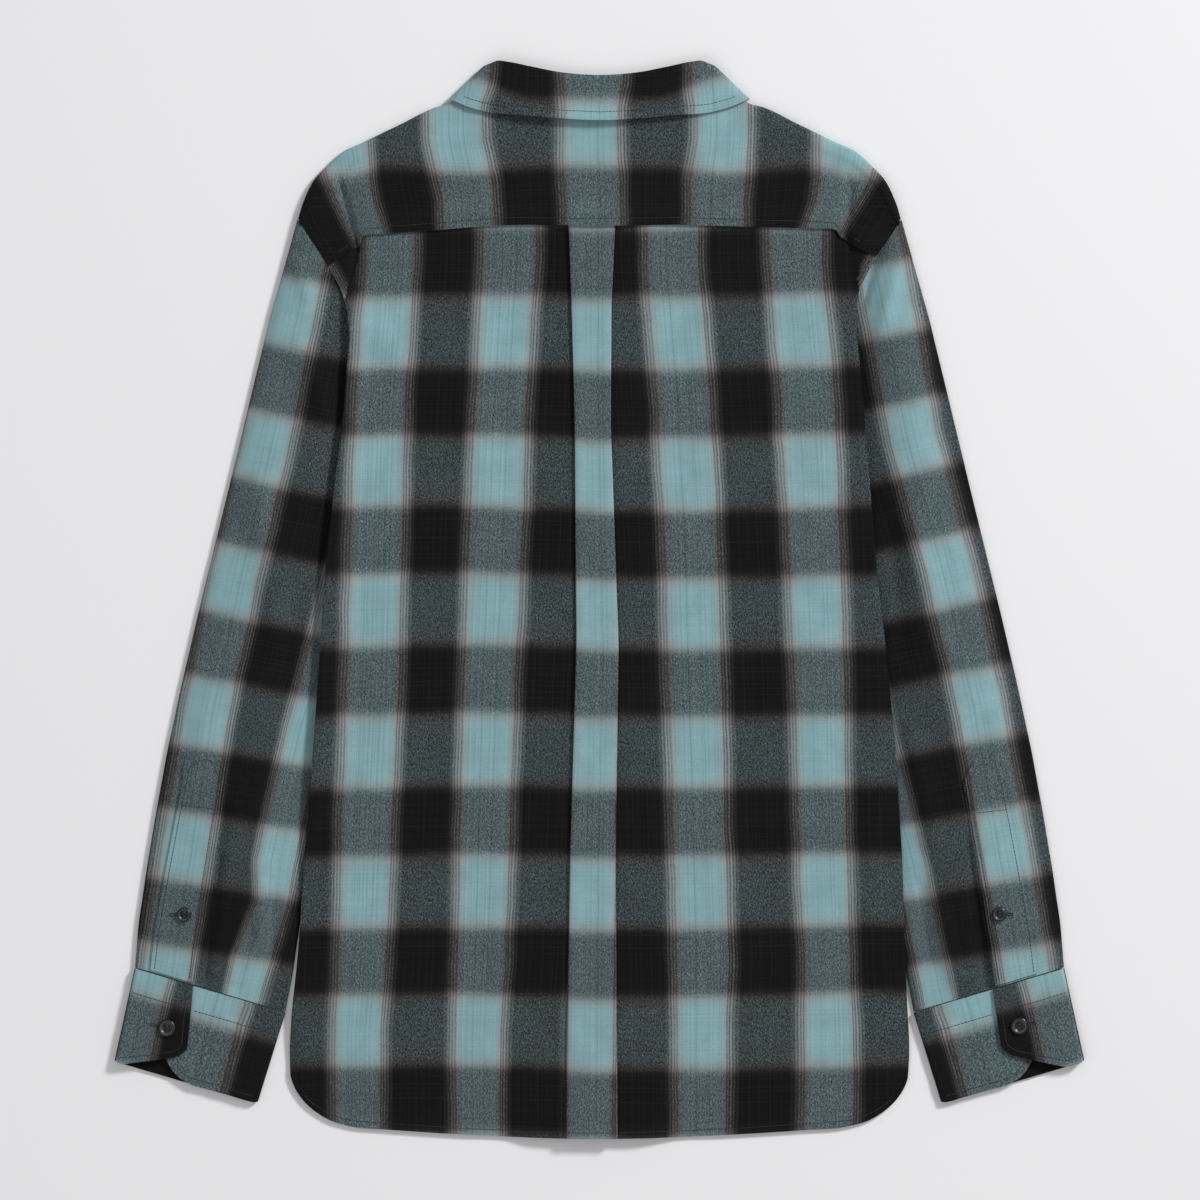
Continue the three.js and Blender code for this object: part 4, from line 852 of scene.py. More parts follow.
# The edge stands off the yoke a little, most at the left of the centre
stand_off = np.interp(leaf_grid[..., 0], [-88, -60, -30, 20, 60, 84], [0, 2.6, 3.6, 2.6, 1.8, 0])
stand_off = stand_off * np.clip(leaf_grid[..., 3] / 34, 0, 1) ** 2
leaf_grid[..., 2] += stand_off * (leaf_grid[..., 2] > COLLAR_AXIS + 2)
COLLAR_COLUMNS = [
    {"y": 411, "a0": -126, "a1": -78.5, "b0": -33.5, "b1": 24, "c0": 65.5, "c1": 118},
    {"y": 394, "a0": -126, "a1": -80, "b0": -32, "b1": 23, "c0": 65.5, "c1": 118},
    {"y": 377, "a0": -127, "a1": -86, "b0": -30.5, "b1": 19, "c0": 68, "c1": 118},
]
COLLAR_BANDS = [("a0", -1.25), ("a1", -0.75), ("b0", -0.25), ("b1", 0.25), ("c0", 0.75), ("c1", 1.25)]


def collar_check(grid):
    x, y = grid[..., 0], grid[..., 1]
    column = band_number(x, y, COLLAR_COLUMNS, COLLAR_BANDS)
    t = np.clip((np.abs(x + 4) - 48) / 50, 0, 1)
    light_from = 381.5 + 17 * t * t * (3 - 2 * t)
    return np.stack([column, (light_from - y) / WEFT_REPEAT - 0.25], axis=-1)


collar_leaf = sewn_shell("collar_leaf_cloth", leaf_grid[..., :3], collar_check(leaf_grid), 1.7)
place(collar_leaf, flannel_cloth, "check_flannel", "collar_leaf")

STAND_RISE = {-1: 0.1, 1: 2.2}
STAND_TOP = 305.5
stand_halves = []
for sign in (-1, 1):
    rows = []
    for k, row in enumerate(FRAMES):
        lift = STAND_RISE[sign] if k == len(FRAMES) - 1 else 0
        shares = (LIP_REACH + 2 * SEAM_GAP, 12, STAND_HEIGHT / 2, 22, STAND_HEIGHT)
        path = [collar_point(row, across, -COLLAR_LIP, sign) for across in shares]
        rows.append([(x, y, z + lift, 0) for x, y, z in path])
    for end in (0, -14):
        z = COLLAR_AXIS - COLLAR_TURN + COLLAR_LIP + STAND_RISE[sign]
        rows.append([(sign * end, lerp(STAND_TOP, STAND_FOOT, t), z, 0) for t in (0, 0.25, 0.5, 0.75, 1)])
    stand_halves.append(rows)
stand_grid = finer(np.array(stand_halves[0][::-1] + stand_halves[1][1:]), 4)
collar_stand = sewn_shell("collar_stand_cloth", stand_grid[..., :3], collar_check(stand_grid), 1.7)
place(collar_stand, flannel_cloth, "check_flannel", "collar_stand")


# SLEEVES. One cut each, sewn to a tube and set into the armhole. They lie flattened, their inner fold
# under the body, with a soft valley beside the body's edge and two pleats let into the cuff.
SLEEVE = [
    {"out_x": 231.0, "out_y": 291.2, "in_x": 177.1, "in_y": 194.8, "fold": 6.5, "swell": 0},
    {"out_x": 236.4, "out_y": 272.0, "in_x": 171.7, "in_y": 172.6, "fold": 6, "swell": 1.5},
    {"out_x": 243.7, "out_y": 246.0, "in_x": 170.2, "in_y": 150.4, "fold": 5.5, "swell": 3.5},
    {"out_x": 252.1, "out_y": 216.2, "in_x": 171.7, "in_y": 125.9, "fold": 5, "swell": 5},
    {"out_x": 262.4, "out_y": 174.1, "in_x": 175.6, "in_y": 91.5, "fold": 4.6, "swell": 5.6},
    {"out_x": 284.6, "out_y": 82.3, "in_x": 187.0, "in_y": 13.5, "fold": 4.4, "swell": 5.6},
    {"out_x": 308.7, "out_y": -16.4, "in_x": 200.8, "in_y": -73.0, "fold": 4.4, "swell": 5.2},
    {"out_x": 320.2, "out_y": -66.1, "in_x": 208.5, "in_y": -118.9, "fold": 4.4, "swell": 5},
    {"out_x": 330.9, "out_y": -115.8, "in_x": 215.3, "in_y": -164.8, "fold": 4.4, "swell": 4.6},
    {"out_x": 340.0, "out_y": -165.5, "in_x": 223.0, "in_y": -210.7, "fold": 4.4, "swell": 4.2},
    {"out_x": 346.9, "out_y": -206.9, "in_x": 229.5, "in_y": -248.9, "fold": 4.4, "swell": 3.6},
    {"out_x": 353.0, "out_y": -248.9, "in_x": 235.2, "in_y": -287.2, "fold": 4.4, "swell": 2.8},
    {"out_x": 355.7, "out_y": -281.4, "in_x": 240.6, "in_y": -315.5, "fold": 4.4, "swell": 1.6},
]


def row_at(table, index):
    low = min(int(index), len(table) - 2)
    return {key: lerp(table[low][key], table[low + 1][key], index - low) for key in table[low]}


def sleeve_plan(index, t):
    row, head = row_at(SLEEVE, index), SLEEVE[0]
    y = lerp(head["out_y"], head["in_y"], t)
    bow = (look(ARMHOLE, "y", y, "x") - lerp(head["out_x"], head["in_x"], t)) * max(0, 1 - index / 3)
    away = (1 - index) * ARMHOLE_GAP * 0.6 if index < 1 else 0
    return lerp(row["out_x"], row["in_x"], t) + bow + away, lerp(row["out_y"], row["in_y"], t) - away * 0.4


def sleeve_width(index):
    row = row_at(SLEEVE, index)
    return math.hypot(row["out_x"] - row["in_x"], row["out_y"] - row["in_y"])


def shown_share(index, side):
    t = 1.0
    while t > 0.3:
        x, y = sleeve_plan(index, t)
        if x > body_edge(y, side) + 1:
            return t
        t -= 0.01
    return 0.3


def sleeve_middle(index, distance, side):
    row = row_at(SLEEVE, index)
    share = clamp01(distance / (shown_share(index, side) * sleeve_width(index)))
    base = lerp(row["fold"], SLEEVE_FLAT, ease(share, 0.35, 0.97)) - CLOTH / 2
    return base + row["swell"] * math.sin(math.pi * share) ** 0.8


def sleeve_ring(index, side, sign):
    fold, width = row_at(SLEEVE, index)["fold"], sleeve_width(index)
    out_radius, in_radius = (fold - CLOTH) / 2, (SLEEVE_FLAT - CLOTH) / 2
    out_centre, in_centre = out_radius + CLOTH / 2, width - in_radius - CLOTH / 2
    shown = shown_share(index, side) * width
    ring = [(lerp(out_centre, in_centre, share), CLOTH / 2, 0) for share in (0.2, 0.45, 0.7, 0.9)]
    turns = (-90, -45, 0, 45, 90)
    for step in turns:
        angle = math.radians(step)
        ring.append((in_centre + in_radius * math.cos(angle), SLEEVE_FLAT / 2 + in_radius * math.sin(angle), 0))
    tops = []
    for share in (0.06, 0.14, 0.24, 0.34, 0.45, 0.56, 0.67, 0.78, 0.88, 0.95, 1):
        tops.append(min(lerp(out_centre, shown, share), in_centre - 2 - (1 - share) * 8))
    inner = (shown + in_centre) / 2 if shown < in_centre - 14 else max(tops[-1] + 0.8, in_centre - 1)
    for distance in [inner] + tops[::-1]:
        ring.append((distance, sleeve_middle(index, distance, side), 1))
    for step in turns:
        angle = math.radians(step)
        ring.append((out_centre - out_radius * math.cos(angle), fold / 2 - out_radius * math.sin(angle), 0))
    row = []
    for distance, z, on_top in ring:
        x, y = sleeve_plan(index, distance / width)
        row.append((sign * x, y, z, on_top))
    return row


# Centre of the outer light column at each light row, and the edges of the next column beside it
SLEEVE_CHECK = {
    "left": [
        {"row": 0, "x": 234.5, "y": 218.5, "b0": 67, "b1": 112},
        {"row": 1, "x": 255.0, "y": 116.0, "b0": 67, "b1": 112},
        {"row": 2, "x": 278.8, "y": 13.5, "b0": 65, "b1": 108},
        {"row": 3, "x": 299.5, "y": -87.5, "b0": 58, "b1": 90},
        {"row": 4, "x": 315.6, "y": -190.0, "b0": 51, "b1": 86},
        {"row": 4.3, "x": 320.3, "y": -220.5, "b0": 57, "b1": 85},
        {"row": 4.7, "x": 326.8, "y": -261.5, "b0": 46.5, "b1": 80},
        {"row": 5.1, "x": 333.2, "y": -302.5, "b0": 44, "b1": 74},
    ],
    "right": [
        {"row": 0, "x": 219.9, "y": 229.2, "b0": 67, "b1": 112},
        {"row": 1, "x": 239.1, "y": 124.4, "b0": 67, "b1": 112},
        {"row": 2, "x": 266.6, "y": 21.1, "b0": 67, "b1": 110},
        {"row": 3, "x": 289.6, "y": -80.6, "b0": 66, "b1": 98},
        {"row": 4, "x": 308.7, "y": -187.7, "b0": 59, "b1": 86},
        {"row": 4.5, "x": 318.0, "y": -241.2, "b0": 58, "b1": 84},
        {"row": 5.1, "x": 329.2, "y": -305.5, "b0": 55, "b1": 82},
    ],
}
SLEEVE_BANDS = [("out", -0.25), ("mid", 0.25), ("b0", 0.75), ("b1", 1.25)]
SLEEVE_OUT = {"left": [("side", -0.4)], "right": []}


def sleeve_check(grid, side):
    """Column and row numbers on a sleeve: rows lie square to the line through its light blocks."""
    reach, y = np.abs(grid[..., 0]), grid[..., 1]
    table = SLEEVE_CHECK[side]
    xs, ys = np.array([row["x"] for row in table]), np.array([row["y"] for row in table])
    numbers = np.array([float(row["row"]) for row in table])
    steps = numbers[-1] - numbers[-2]
    run_first = (xs[0] - xs[1], ys[0] - ys[1])
    run_last = ((xs[-1] - xs[-2]) / steps, (ys[-1] - ys[-2]) / steps)
    xs = np.concatenate([[xs[0] + run_first[0]], xs, [xs[-1] + run_last[0]]])
    ys = np.concatenate([[ys[0] + run_first[1]], ys, [ys[-1] + run_last[1]]])
    numbers = np.concatenate([[numbers[0] - 1], numbers, [numbers[-1] + 1]])
    slope_x, slope_y = np.gradient(xs, numbers), np.gradient(ys, numbers)
    row = np.interp(-y, -ys, numbers)
    for _ in range(6):
        gap_x, gap_y = reach - np.interp(row, numbers, xs), y - np.interp(row, numbers, ys)
        run_x, run_y = np.interp(row, numbers, slope_x), np.interp(row, numbers, slope_y)
        row = np.clip(row + 0.8 * (gap_x * run_x + gap_y * run_y) / (run_x**2 + run_y**2), -1, 6)
    inward = (gap_x * run_y - gap_y * run_x) / np.hypot(run_x, run_y)
    bands = [{**line, "side": -40, "out": -22.5, "mid": 20.5} for line in table]
    edges = SLEEVE_OUT[side] + SLEEVE_BANDS
    return np.stack([band_number(inward, row, bands, edges, "row"), row], axis=-1)


SLEEVE_CREASES = {
    "left": [
        {"x0": -249, "y0": -226, "x1": -251, "y1": -276, "wide": 4.5, "high": -3.5},
        {"x0": -258, "y0": -210, "x1": -261, "y1": -262, "wide": 6, "high": 3.1},
        {"x0": -262, "y0": -240, "x1": -280, "y1": -302, "wide": 3.5, "high": -2.4},
        {"x0": -286, "y0": -158, "x1": -303.5, "y1": -296, "wide": 4.2, "high": -3.8},
        {"x0": -240, "y0": -130, "x1": -263, "y1": -215, "wide": 10, "high": 2.7},
        {"x0": -222, "y0": 190, "x1": -206, "y1": 128, "wide": 11, "high": 2.7},
        {"x0": -262, "y0": 90, "x1": -246, "y1": -30, "wide": 13, "high": 2.4},
        {"x0": -232, "y0": 20, "x1": -240, "y1": -80, "wide": 9, "high": -1.8},
        {"x0": -296, "y0": -60, "x1": -312, "y1": -150, "wide": 13, "high": 1.4},
        {"x0": -232, "y0": 262, "x1": -222, "y1": 226, "wide": 8, "high": 2.0},
        {"x0": -236, "y0": 176, "x1": -242, "y1": 110, "wide": 10, "high": -1.4},
    ],
    "right": [
        {"x0": 219, "y0": 282, "x1": 199, "y1": 222, "wide": 6, "high": -3.5},
        {"x0": 231, "y0": 270, "x1": 213, "y1": 196, "wide": 8, "high": 2.4},
        {"x0": 247, "y0": -216, "x1": 252, "y1": -280, "wide": 5, "high": -3.0},
        {"x0": 262, "y0": -226, "x1": 271, "y1": -296, "wide": 6, "high": 2.9},
        {"x0": 281.5, "y0": -158, "x1": 296, "y1": -300, "wide": 4.2, "high": -3.8},
        {"x0": 236, "y0": -96, "x1": 258, "y1": -196, "wide": 11, "high": 2.9},
        {"x0": 250, "y0": 110, "x1": 240, "y1": 0, "wide": 13, "high": 2.4},
        {"x0": 222, "y0": 60, "x1": 234, "y1": -50, "wide": 9, "high": -1.6},
        {"x0": 300, "y0": -70, "x1": 306, "y1": -140, "wide": 12, "high": 1.4},
        {"x0": 262, "y0": 40, "x1": 276, "y1": -40, "wide": 9, "high": -1.2},
    ],
}


def lie_on_sleeve(grid, side):
    """Lifts the upper cloth of a sleeve by its creases. The fourth value of a point says how much."""
    x, y = grid[..., 0], grid[..., 1]
    lift = crease_lift(SLEEVE_CREASES[side], x, y) + 1.1 * loft_wave(x * 1.3, y)
    grid[..., 2] += lift * np.clip(grid[..., 3], 0, 1)
    return grid


for side, sign in (("left", -1), ("right", 1)):
    rings = np.array([sleeve_ring(0.5 * n, side, sign) for n in range(2 * len(SLEEVE) - 1)])
    grid = lie_on_sleeve(finer(rings, 3.2, around=True), side)
    sleeve = sewn_shell(f"sleeve_{side}_cloth", grid[..., :3], sleeve_check(grid, side), 0.9, around=True)
    place(sleeve, flannel_cloth, "check_flannel", f"sleeve_{side}")


# SLEEVE PLACKETS.
PLACKET = [
    {"section": 7.76, "from": 0.27, "to": 0.285},
    {"section": 7.86, "from": 0.2, "to": 0.335},
    {"section": 8.0, "from": 0.137, "to": 0.377},
    {"section": 9, "from": 0.128, "to": 0.38},
    {"section": 10, "from": 0.12, "to": 0.383},
    {"section": 11, "from": 0.11, "to": 0.386},
    {"section": 11.95, "from": 0.104, "to": 0.389},
]
PLACKET_SHIFT = {"left": 0, "right": 0.07}
PLACKET_LIFT = 0.6
PLACKET_BUTTON = {"left": (-317.7, -241.0), "right": (305.8, -240.6)}


def placket_point(index, t, side, sign):
    t += PLACKET_SHIFT[side]
    x, y = sleeve_plan(index, t)
    z = sleeve_middle(index, t * sleeve_width(index), side) + CLOTH / 2
    return (sign * x, y, z + PLACKET_LIFT + CLOTH / 2, 1)


plackets = {}
for side, sign in (("left", -1), ("right", 1)):
    rows = []
    for k in range(3 * (len(PLACKET) - 1) + 1):
        row = row_at(PLACKET, k / 3)
        shares = (0, 0.04, 0.25, 0.5, 0.75, 0.96, 1)
        rows.append([placket_point(row["section"], lerp(row["from"], row["to"], t), side, sign) for t in shares])
    grid = lie_on_sleeve(finer(np.array(rows), 2.6), side)
    placket = sewn_shell(f"sleeve_placket_{side}_cloth", grid[..., :3], sleeve_check(grid, side), 1.0)
    place(placket, flannel_cloth, "check_flannel", f"sleeve_placket_{side}")
    plackets[side] = placket


# CUFFS. Bands of two cloths with interlining round the wrist. The end with the buttonhole laps over
# the other one, both with rounded corners, and the button holds them.
CUFF_CLOTH = 2.0
CUFF_CORNERS = {"top_out": (355.9, -282.2), "top_in": (240.4, -316.4), "foot_out": (371.4, -353.7), "foot_in": (262.0, -385.9)}
CUFF_FLOOR, CUFF_UNDER, CUFF_FLAP = 1.0, 3.9, 6.2
UNDER_FROM = 0.2
# Where the upper end stops, where its curve leaves the foot, how fast it rises and how its end slants
CUFF_SIDE = {
    "left": {"flap_to": 0.389, "curve_from": 0.045, "rise": 0.8, "slant": 0.25, "button": (330.9, -327.7)},
    "right": {"flap_to": 0.475, "curve_from": 0.11, "rise": 0.9, "slant": 0.15, "button": (321.3, -326.2)},
}


def cuff_point(across, down, z, sign):
    corner = clamp01(1 - min(across, 1 - across) * 120 / 4.5)
    down *= 1 - 4.5 / 73 * (1 - math.sqrt(1 - corner * corner))
    top = [lerp(a, b, across) for a, b in zip(CUFF_CORNERS["top_out"], CUFF_CORNERS["top_in"])]
    foot = [lerp(a, b, across) for a, b in zip(CUFF_CORNERS["foot_out"], CUFF_CORNERS["foot_in"])]
    return (sign * lerp(top[0], foot[0], down), lerp(top[1], foot[1], down), z)


def under_reach(across):
    return 1 - 0.5 * clamp01(1 - (across - UNDER_FROM) / 0.32) ** 1.9


def flap_reach(across, side):
    end = CUFF_SIDE[side]
    rounded = clamp01((across - end["flap_to"] + 0.09) / 0.09)
    return 1 - end["rise"] * max(0, across - end["curve_from"]) - 0.1 * (1 - math.sqrt(1 - rounded * rounded))


def flap_point(across, down, side, sign):
    return cuff_point(across * (1 + CUFF_SIDE[side]["slant"] * down), down, CUFF_FLAP, sign)


def cuff_path(side):
    width = math.dist(CUFF_CORNERS["top_out"], CUFF_CORNERS["top_in"])
    flap_to, half = CUFF_SIDE[side]["flap_to"], CUFF_CLOTH / 2
    in_radius, out_radius = (CUFF_UNDER - CUFF_FLOOR) / 2, (CUFF_FLAP - CUFF_FLOOR) / 2
    in_centre, out_centre = 1 - (in_radius + half) / width, (out_radius + half) / width
    path = []
    for share in (0, 0.04, 0.1, 0.18, 0.28, 0.42, 0.62, 0.85, 0.96):
        across = lerp(UNDER_FROM, in_centre, share)
        path.append((across, CUFF_UNDER, under_reach(across)))
    for step in (90, 45, 0, -45, -90):
        angle = math.radians(step)
        z = (CUFF_UNDER + CUFF_FLOOR) / 2 + in_radius * math.sin(angle)
        path.append((in_centre + in_radius / width * math.cos(angle), z, 1))
    path += [(lerp(in_centre, out_centre, share), CUFF_FLOOR, 1) for share in (0.03, 0.08, 0.5, 0.92, 0.97)]
    for step in (-90, -45, 0, 45, 90):
        angle = math.radians(step)
        z = (CUFF_FLAP + CUFF_FLOOR) / 2 + out_radius * math.sin(angle)
        path.append((out_centre - out_radius / width * math.cos(angle), z, 1))
    for share in (0.06, 0.15, 0.3, 0.45, 0.58, 0.7, 0.78, 0.85, 0.91, 0.96, 0.99, 1):
        across = lerp(out_centre, flap_to, share)
        path.append((across, CUFF_FLAP, flap_reach(across, side)))
    return path


# Share across the cuff of each band edge on the upper end and on the one below, and how far their
# light row reaches down
CUFF_CHECK = {
    "left": [
        {"part": "flap", "from": -0.14, "edge": 0.265, "next": 0.52, "light_to": 0.25},
        {"part": "under", "from": 0.2, "edge": 0.785, "next": 1.1, "light_to": 0.33},
    ],
    "right": [
        {"part": "flap", "from": -0.12, "edge": 0.3, "next": 0.56, "light_to": 0.25},
        {"part": "under", "from": 0.32, "edge": 0.865, "next": 1.15, "light_to": 0.34},
    ],
}


def cuff_check(grid, side):
    across, down, z = grid[..., 3], grid[..., 4], grid[..., 2]
    maps = []
    for line in CUFF_CHECK[side]:
        number = np.interp(across, [line["from"] - 0.3, line["from"], line["edge"], line["next"]], [-0.75, -0.25, 0.25, 0.75])
        maps.append(np.stack([number, 0.25 + (down - line["light_to"]) * 71.5 / WEFT_REPEAT], axis=-1))
    upper = (z > (CUFF_UNDER + CUFF_FLAP) / 2)[..., None]
    inner = (z < (CUFF_UNDER + CUFF_FLOOR) / 2)[..., None]
    return np.where(inner, [0.5, 0.5], np.where(upper, maps[0], maps[1]))


cuffs = {}
for side, sign in (("left", -1), ("right", 1)):
    rows = []
    for share in (0, 0.03, 0.12, 0.25, 0.27, 0.4, 0.55, 0.7, 0.82, 0.92, 0.975, 1):
        row = []
        for across, z, reach in cuff_path(side):
            slant = CUFF_SIDE[side]["slant"] * share * reach if z > CUFF_FLAP - 0.01 else 0
            across *= 1 + slant
            row.append((*cuff_point(across, share * reach, z, sign), across, share * reach))
        rows.append(row)
    grid = finer(np.array(rows), 2.4)
    # The row of topstitching below the top seam draws the two cloths together
    grid[..., 2] += 0.18 * np.sin(grid[..., 3] * 37) * np.sin(grid[..., 4] * 21)
    cuff = sewn_shell(f"cuff_{side}_cloth", grid[..., :3], cuff_check(grid, side), 1.9)
    place(cuff, flannel_cloth, "check_flannel", f"cuff_{side}")
    cuffs[side] = cuff


# SEWING. Lockstitch in dark grey polyester core thread, 0.45 mm thick and 2.8 mm a stitch: edge rows on
# yoke, collar, cuffs, plackets and hem, and closely worked buttonholes.
def thread():
    material = bpy.data.materials.new("polyester_thread")
    material.use_nodes = True
    tree = material.node_tree
    tree.nodes.clear()
    place_in = node(tree, "ShaderNodeTexCoord").outputs["Object"]
    strands = node(tree, "ShaderNodeTexNoise", None, Vector=place_in, Scale=900.0, Detail=2.0)
    ramp = node(tree, "ShaderNodeValToRGB", None, Fac=strands.outputs[0])
    ramp.color_ramp.elements[0].color = linear("#151a1c")
    ramp.color_ramp.elements[1].color = linear("#252d2f")
    bump = node(tree, "ShaderNodeBump", None, Height=strands.outputs[0], Strength=0.3, Distance=0.0001)
    shader = node(tree, "ShaderNodeBsdfPrincipled", None, Base_Color=ramp.outputs[0], Normal=bump.outputs[0],
                  Roughness=0.6)
    node(tree, "ShaderNodeOutputMaterial", None, Surface=shader.outputs[0])
    return material


dark_thread = thread()


def tree_of(*pieces):
    """Search tree of the faces of some pieces."""
    points, faces = [], []
    for piece in pieces:
        start = len(points)
        points += [vertex.co.copy() for vertex in piece.data.vertices]
        faces += [[start + v for v in polygon.vertices] for polygon in piece.data.polygons]
    return BVHTree.FromPolygons(points, faces)


def on_cloth(tree, x, y):
    """Place and normal of the topmost cloth under a plan point, in metres."""
    spot, normal, _, _ = tree.ray_cast(Vector((x / 1000, y / 1000, 0.05)), Vector((0, 0, -1)))
    return spot, normal


def walk(line, step):
    """Points a step apart along a plan line."""
    line = np.array(line, dtype=float)
    lengths = np.concatenate([[0], np.cumsum(np.hypot(*np.diff(line, axis=0).T))])
    places = np.arange(0, lengths[-1], step)
    return np.stack([np.interp(places, lengths, line[:, 0]), np.interp(places, lengths, line[:, 1])], axis=1)


def inset(line, distance, inner):
    """The line moved by a distance towards an inner point."""
    line = np.array(line)
    run = np.gradient(line, axis=0)
    normal = np.stack([-run[:, 1], run[:, 0]], axis=1) / np.linalg.norm(run, axis=1, keepdims=True)
    toward = np.sign(np.sum(normal * (np.array(inner[:2]) - line), axis=1))
    return line + normal * np.median(toward) * distance


def add_stitch(points, faces, start, end, normal, thick, sink=0.25):
    """One stitch: a short thread, thick in its middle and drawn into the cloth at both ends."""
    along = end - start
    if along.length < 1e-6:
        return
    side = along.cross(normal).normalized()
    up = side.cross(along).normalized()
    base = len(points)
    rings = ((0.0, -0.5, 0.6), (0.12, 0.25, 0.9), (0.5, 0.5, 1.0), (0.88, 0.25, 0.9), (1.0, -0.5, 0.6))
    for share, height, width in rings:
        centre = start + along * share + up * (height - sink) * thick / 2
        for k in range(6):
            angle = k * math.pi / 3
            points.append(centre + (side * math.cos(angle) + up * math.sin(angle)) * width * thick / 2)
    for ring in range(len(rings) - 1):
        for k in range(6):
            a, b = base + ring * 6 + k, base + ring * 6 + (k + 1) % 6
            faces.append((a, b, b + 6, a + 6))
    faces.append(tuple(base + k for k in range(5, -1, -1)))
    faces.append(tuple(base + (len(rings) - 1) * 6 + k for k in range(6)))


def sew(name, tree, rows, holes=(), stitch=2.8, thick=0.45):
    """Rows of topstitching and buttonholes of one piece, as one joined mesh."""
    points, faces = [], []
    for line in rows:
        spots = [on_cloth(tree, x, y) for x, y in walk(line, stitch)]
        for (start, normal), (end, _) in zip(spots, spots[1:]):
            if start is None or end is None or abs(start.z - end.z) > 0.0012:
                continue
            share = 0.02
            add_stitch(points, faces, start.lerp(end, share), end.lerp(start, share), normal, thick / 1000)
    for hole in holes:
        # Two close rows of bar stitches beside the slit, with a bar at each end
        cx, cy, angle, length = hole
        dx, dy = math.cos(angle), math.sin(angle)
        for lane in (-1, 1):
            for k in range(int(length / 0.55) + 1):
                s = -length / 2 + k * 0.55
                ax, ay = cx + s * dx - lane * 0.25 * dy, cy + s * dy + lane * 0.25 * dx
                bx, by = cx + s * dx - lane * 1.35 * dy, cy + s * dy + lane * 1.35 * dx
                (start, normal), (end, _) = on_cloth(tree, ax, ay), on_cloth(tree, bx, by)
                if start and end:
                    add_stitch(points, faces, start, end, normal, 0.0005, 0.1)
        for s in (-length / 2 - 0.4, length / 2 + 0.4):
            ax, ay = cx + s * dx - 1.4 * dy, cy + s * dy + 1.4 * dx
            bx, by = cx + s * dx + 1.4 * dy, cy + s * dy - 1.4 * dx
            (start, normal), (end, _) = on_cloth(tree, ax, ay), on_cloth(tree, bx, by)
            if start and end:
                add_stitch(points, faces, start, end, normal, 0.0007, 0.1)
    mesh = bpy.data.meshes.new(name)
    mesh.from_pydata(points, [], faces)
    mesh.shade_smooth()
    piece = bpy.data.objects.new(name, mesh)
    bpy.context.scene.collection.objects.link(piece)
    mesh.materials.append(dark_thread)
    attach(piece, "root")
    return piece


body_tree = tree_of(back_panel, yoke)
yoke_row = [(x, yoke_seam(x) + 5.4) for x in range(-200, 201, 4)]
yoke_sewing = sew("yoke_sewing", body_tree, [yoke_row])
hem_row = [(x, hem_height(x) + 4.8) for x in range(-226, 227, 3)]
hem_sewing = sew("hem_sewing", body_tree, [hem_row])

leaf_tree = tree_of(collar_leaf)
leaf_row = []
for sign in (-1, 1):
    half = []
    for row in FRAMES:
        if row["turn"] < 60:
            half.append(collar_point(row, row["width"] - 6.3, 0, sign)[:2])
    leaf_row += half[::-1] if sign < 0 else half[1:]
collar_sewing = sew("collar_sewing", leaf_tree, [leaf_row])

for side, sign in (("left", -1), ("right", 1)):
    def on_placket(section, share):
        row = next(
            row_at(PLACKET, k / 20) for k in range(20 * (len(PLACKET) - 1) + 1)
            if row_at(PLACKET, k / 20)["section"] >= section - 1e-6
        )
        return placket_point(row["section"], lerp(row["from"], row["to"], share), side, sign)[:2]

    outline = [on_placket(s, 0.09) for s in (11.9, 11, 10, 9, 8.2, 8.06)]
    outline += [on_placket(7.93, 0.25), on_placket(7.86, 0.5), on_placket(7.93, 0.75)]
    outline += [on_placket(s, 0.91) for s in (8.06, 8.3, 8.534)]
    cross = [on_placket(8.695, 0.06), on_placket(8.534, 0.94)]
    inner = [on_placket(s, 0.91) for s in (8.534, 9, 10, 11, 11.9)]
    bx, by = PLACKET_BUTTON[side]
    toward = 1 if side == "right" else -1
    hole = (bx + toward * 4.6, by + 0.4, math.radians(-8 * sign), 11)
    tree = tree_of(plackets[side])
    sew(f"placket_sewing_{side}", tree, [outline, cross, inner], [hole], thick=0.5)

    flap_to = CUFF_SIDE[side]["flap_to"]
    flap_line = [flap_point(a, flap_reach(a, side), side, sign)[:2] for a in np.linspace(0.01, flap_to, 60)]
    flap_line += [flap_point(flap_to, d, side, sign)[:2] for d in np.linspace(flap_reach(flap_to, side) - 0.04, 0.02, 16)]
    flap_edge = inset(flap_line, 4.6, cuff_point(0.2, 0.4, 0, sign))
    flap_top = [flap_point(a, 0.25, side, sign)[:2] for a in np.linspace(0.02, flap_to - 0.01, 10)]
    under_line = [cuff_point(a, under_reach(a), 0, sign)[:2] for a in np.linspace(0.365, 0.98, 34)]
    under_edge = inset(under_line, 4.6, cuff_point(0.6, 0.3, 0, sign))
    under_top = [cuff_point(a, 0.25, 0, sign)[:2] for a in np.linspace(flap_to + 0.045, 0.985, 16)]
    button_x, button_y = CUFF_SIDE[side]["button"]
    cuff_hole = (sign * button_x + toward * 5.2, button_y + 0.8, math.radians(16 * sign), 14)
    tree = tree_of(cuffs[side])
    rows = [flap_edge, flap_top, under_edge, under_top]
    sew(f"cuff_sewing_{side}", tree, rows, [cuff_hole], thick=0.5)

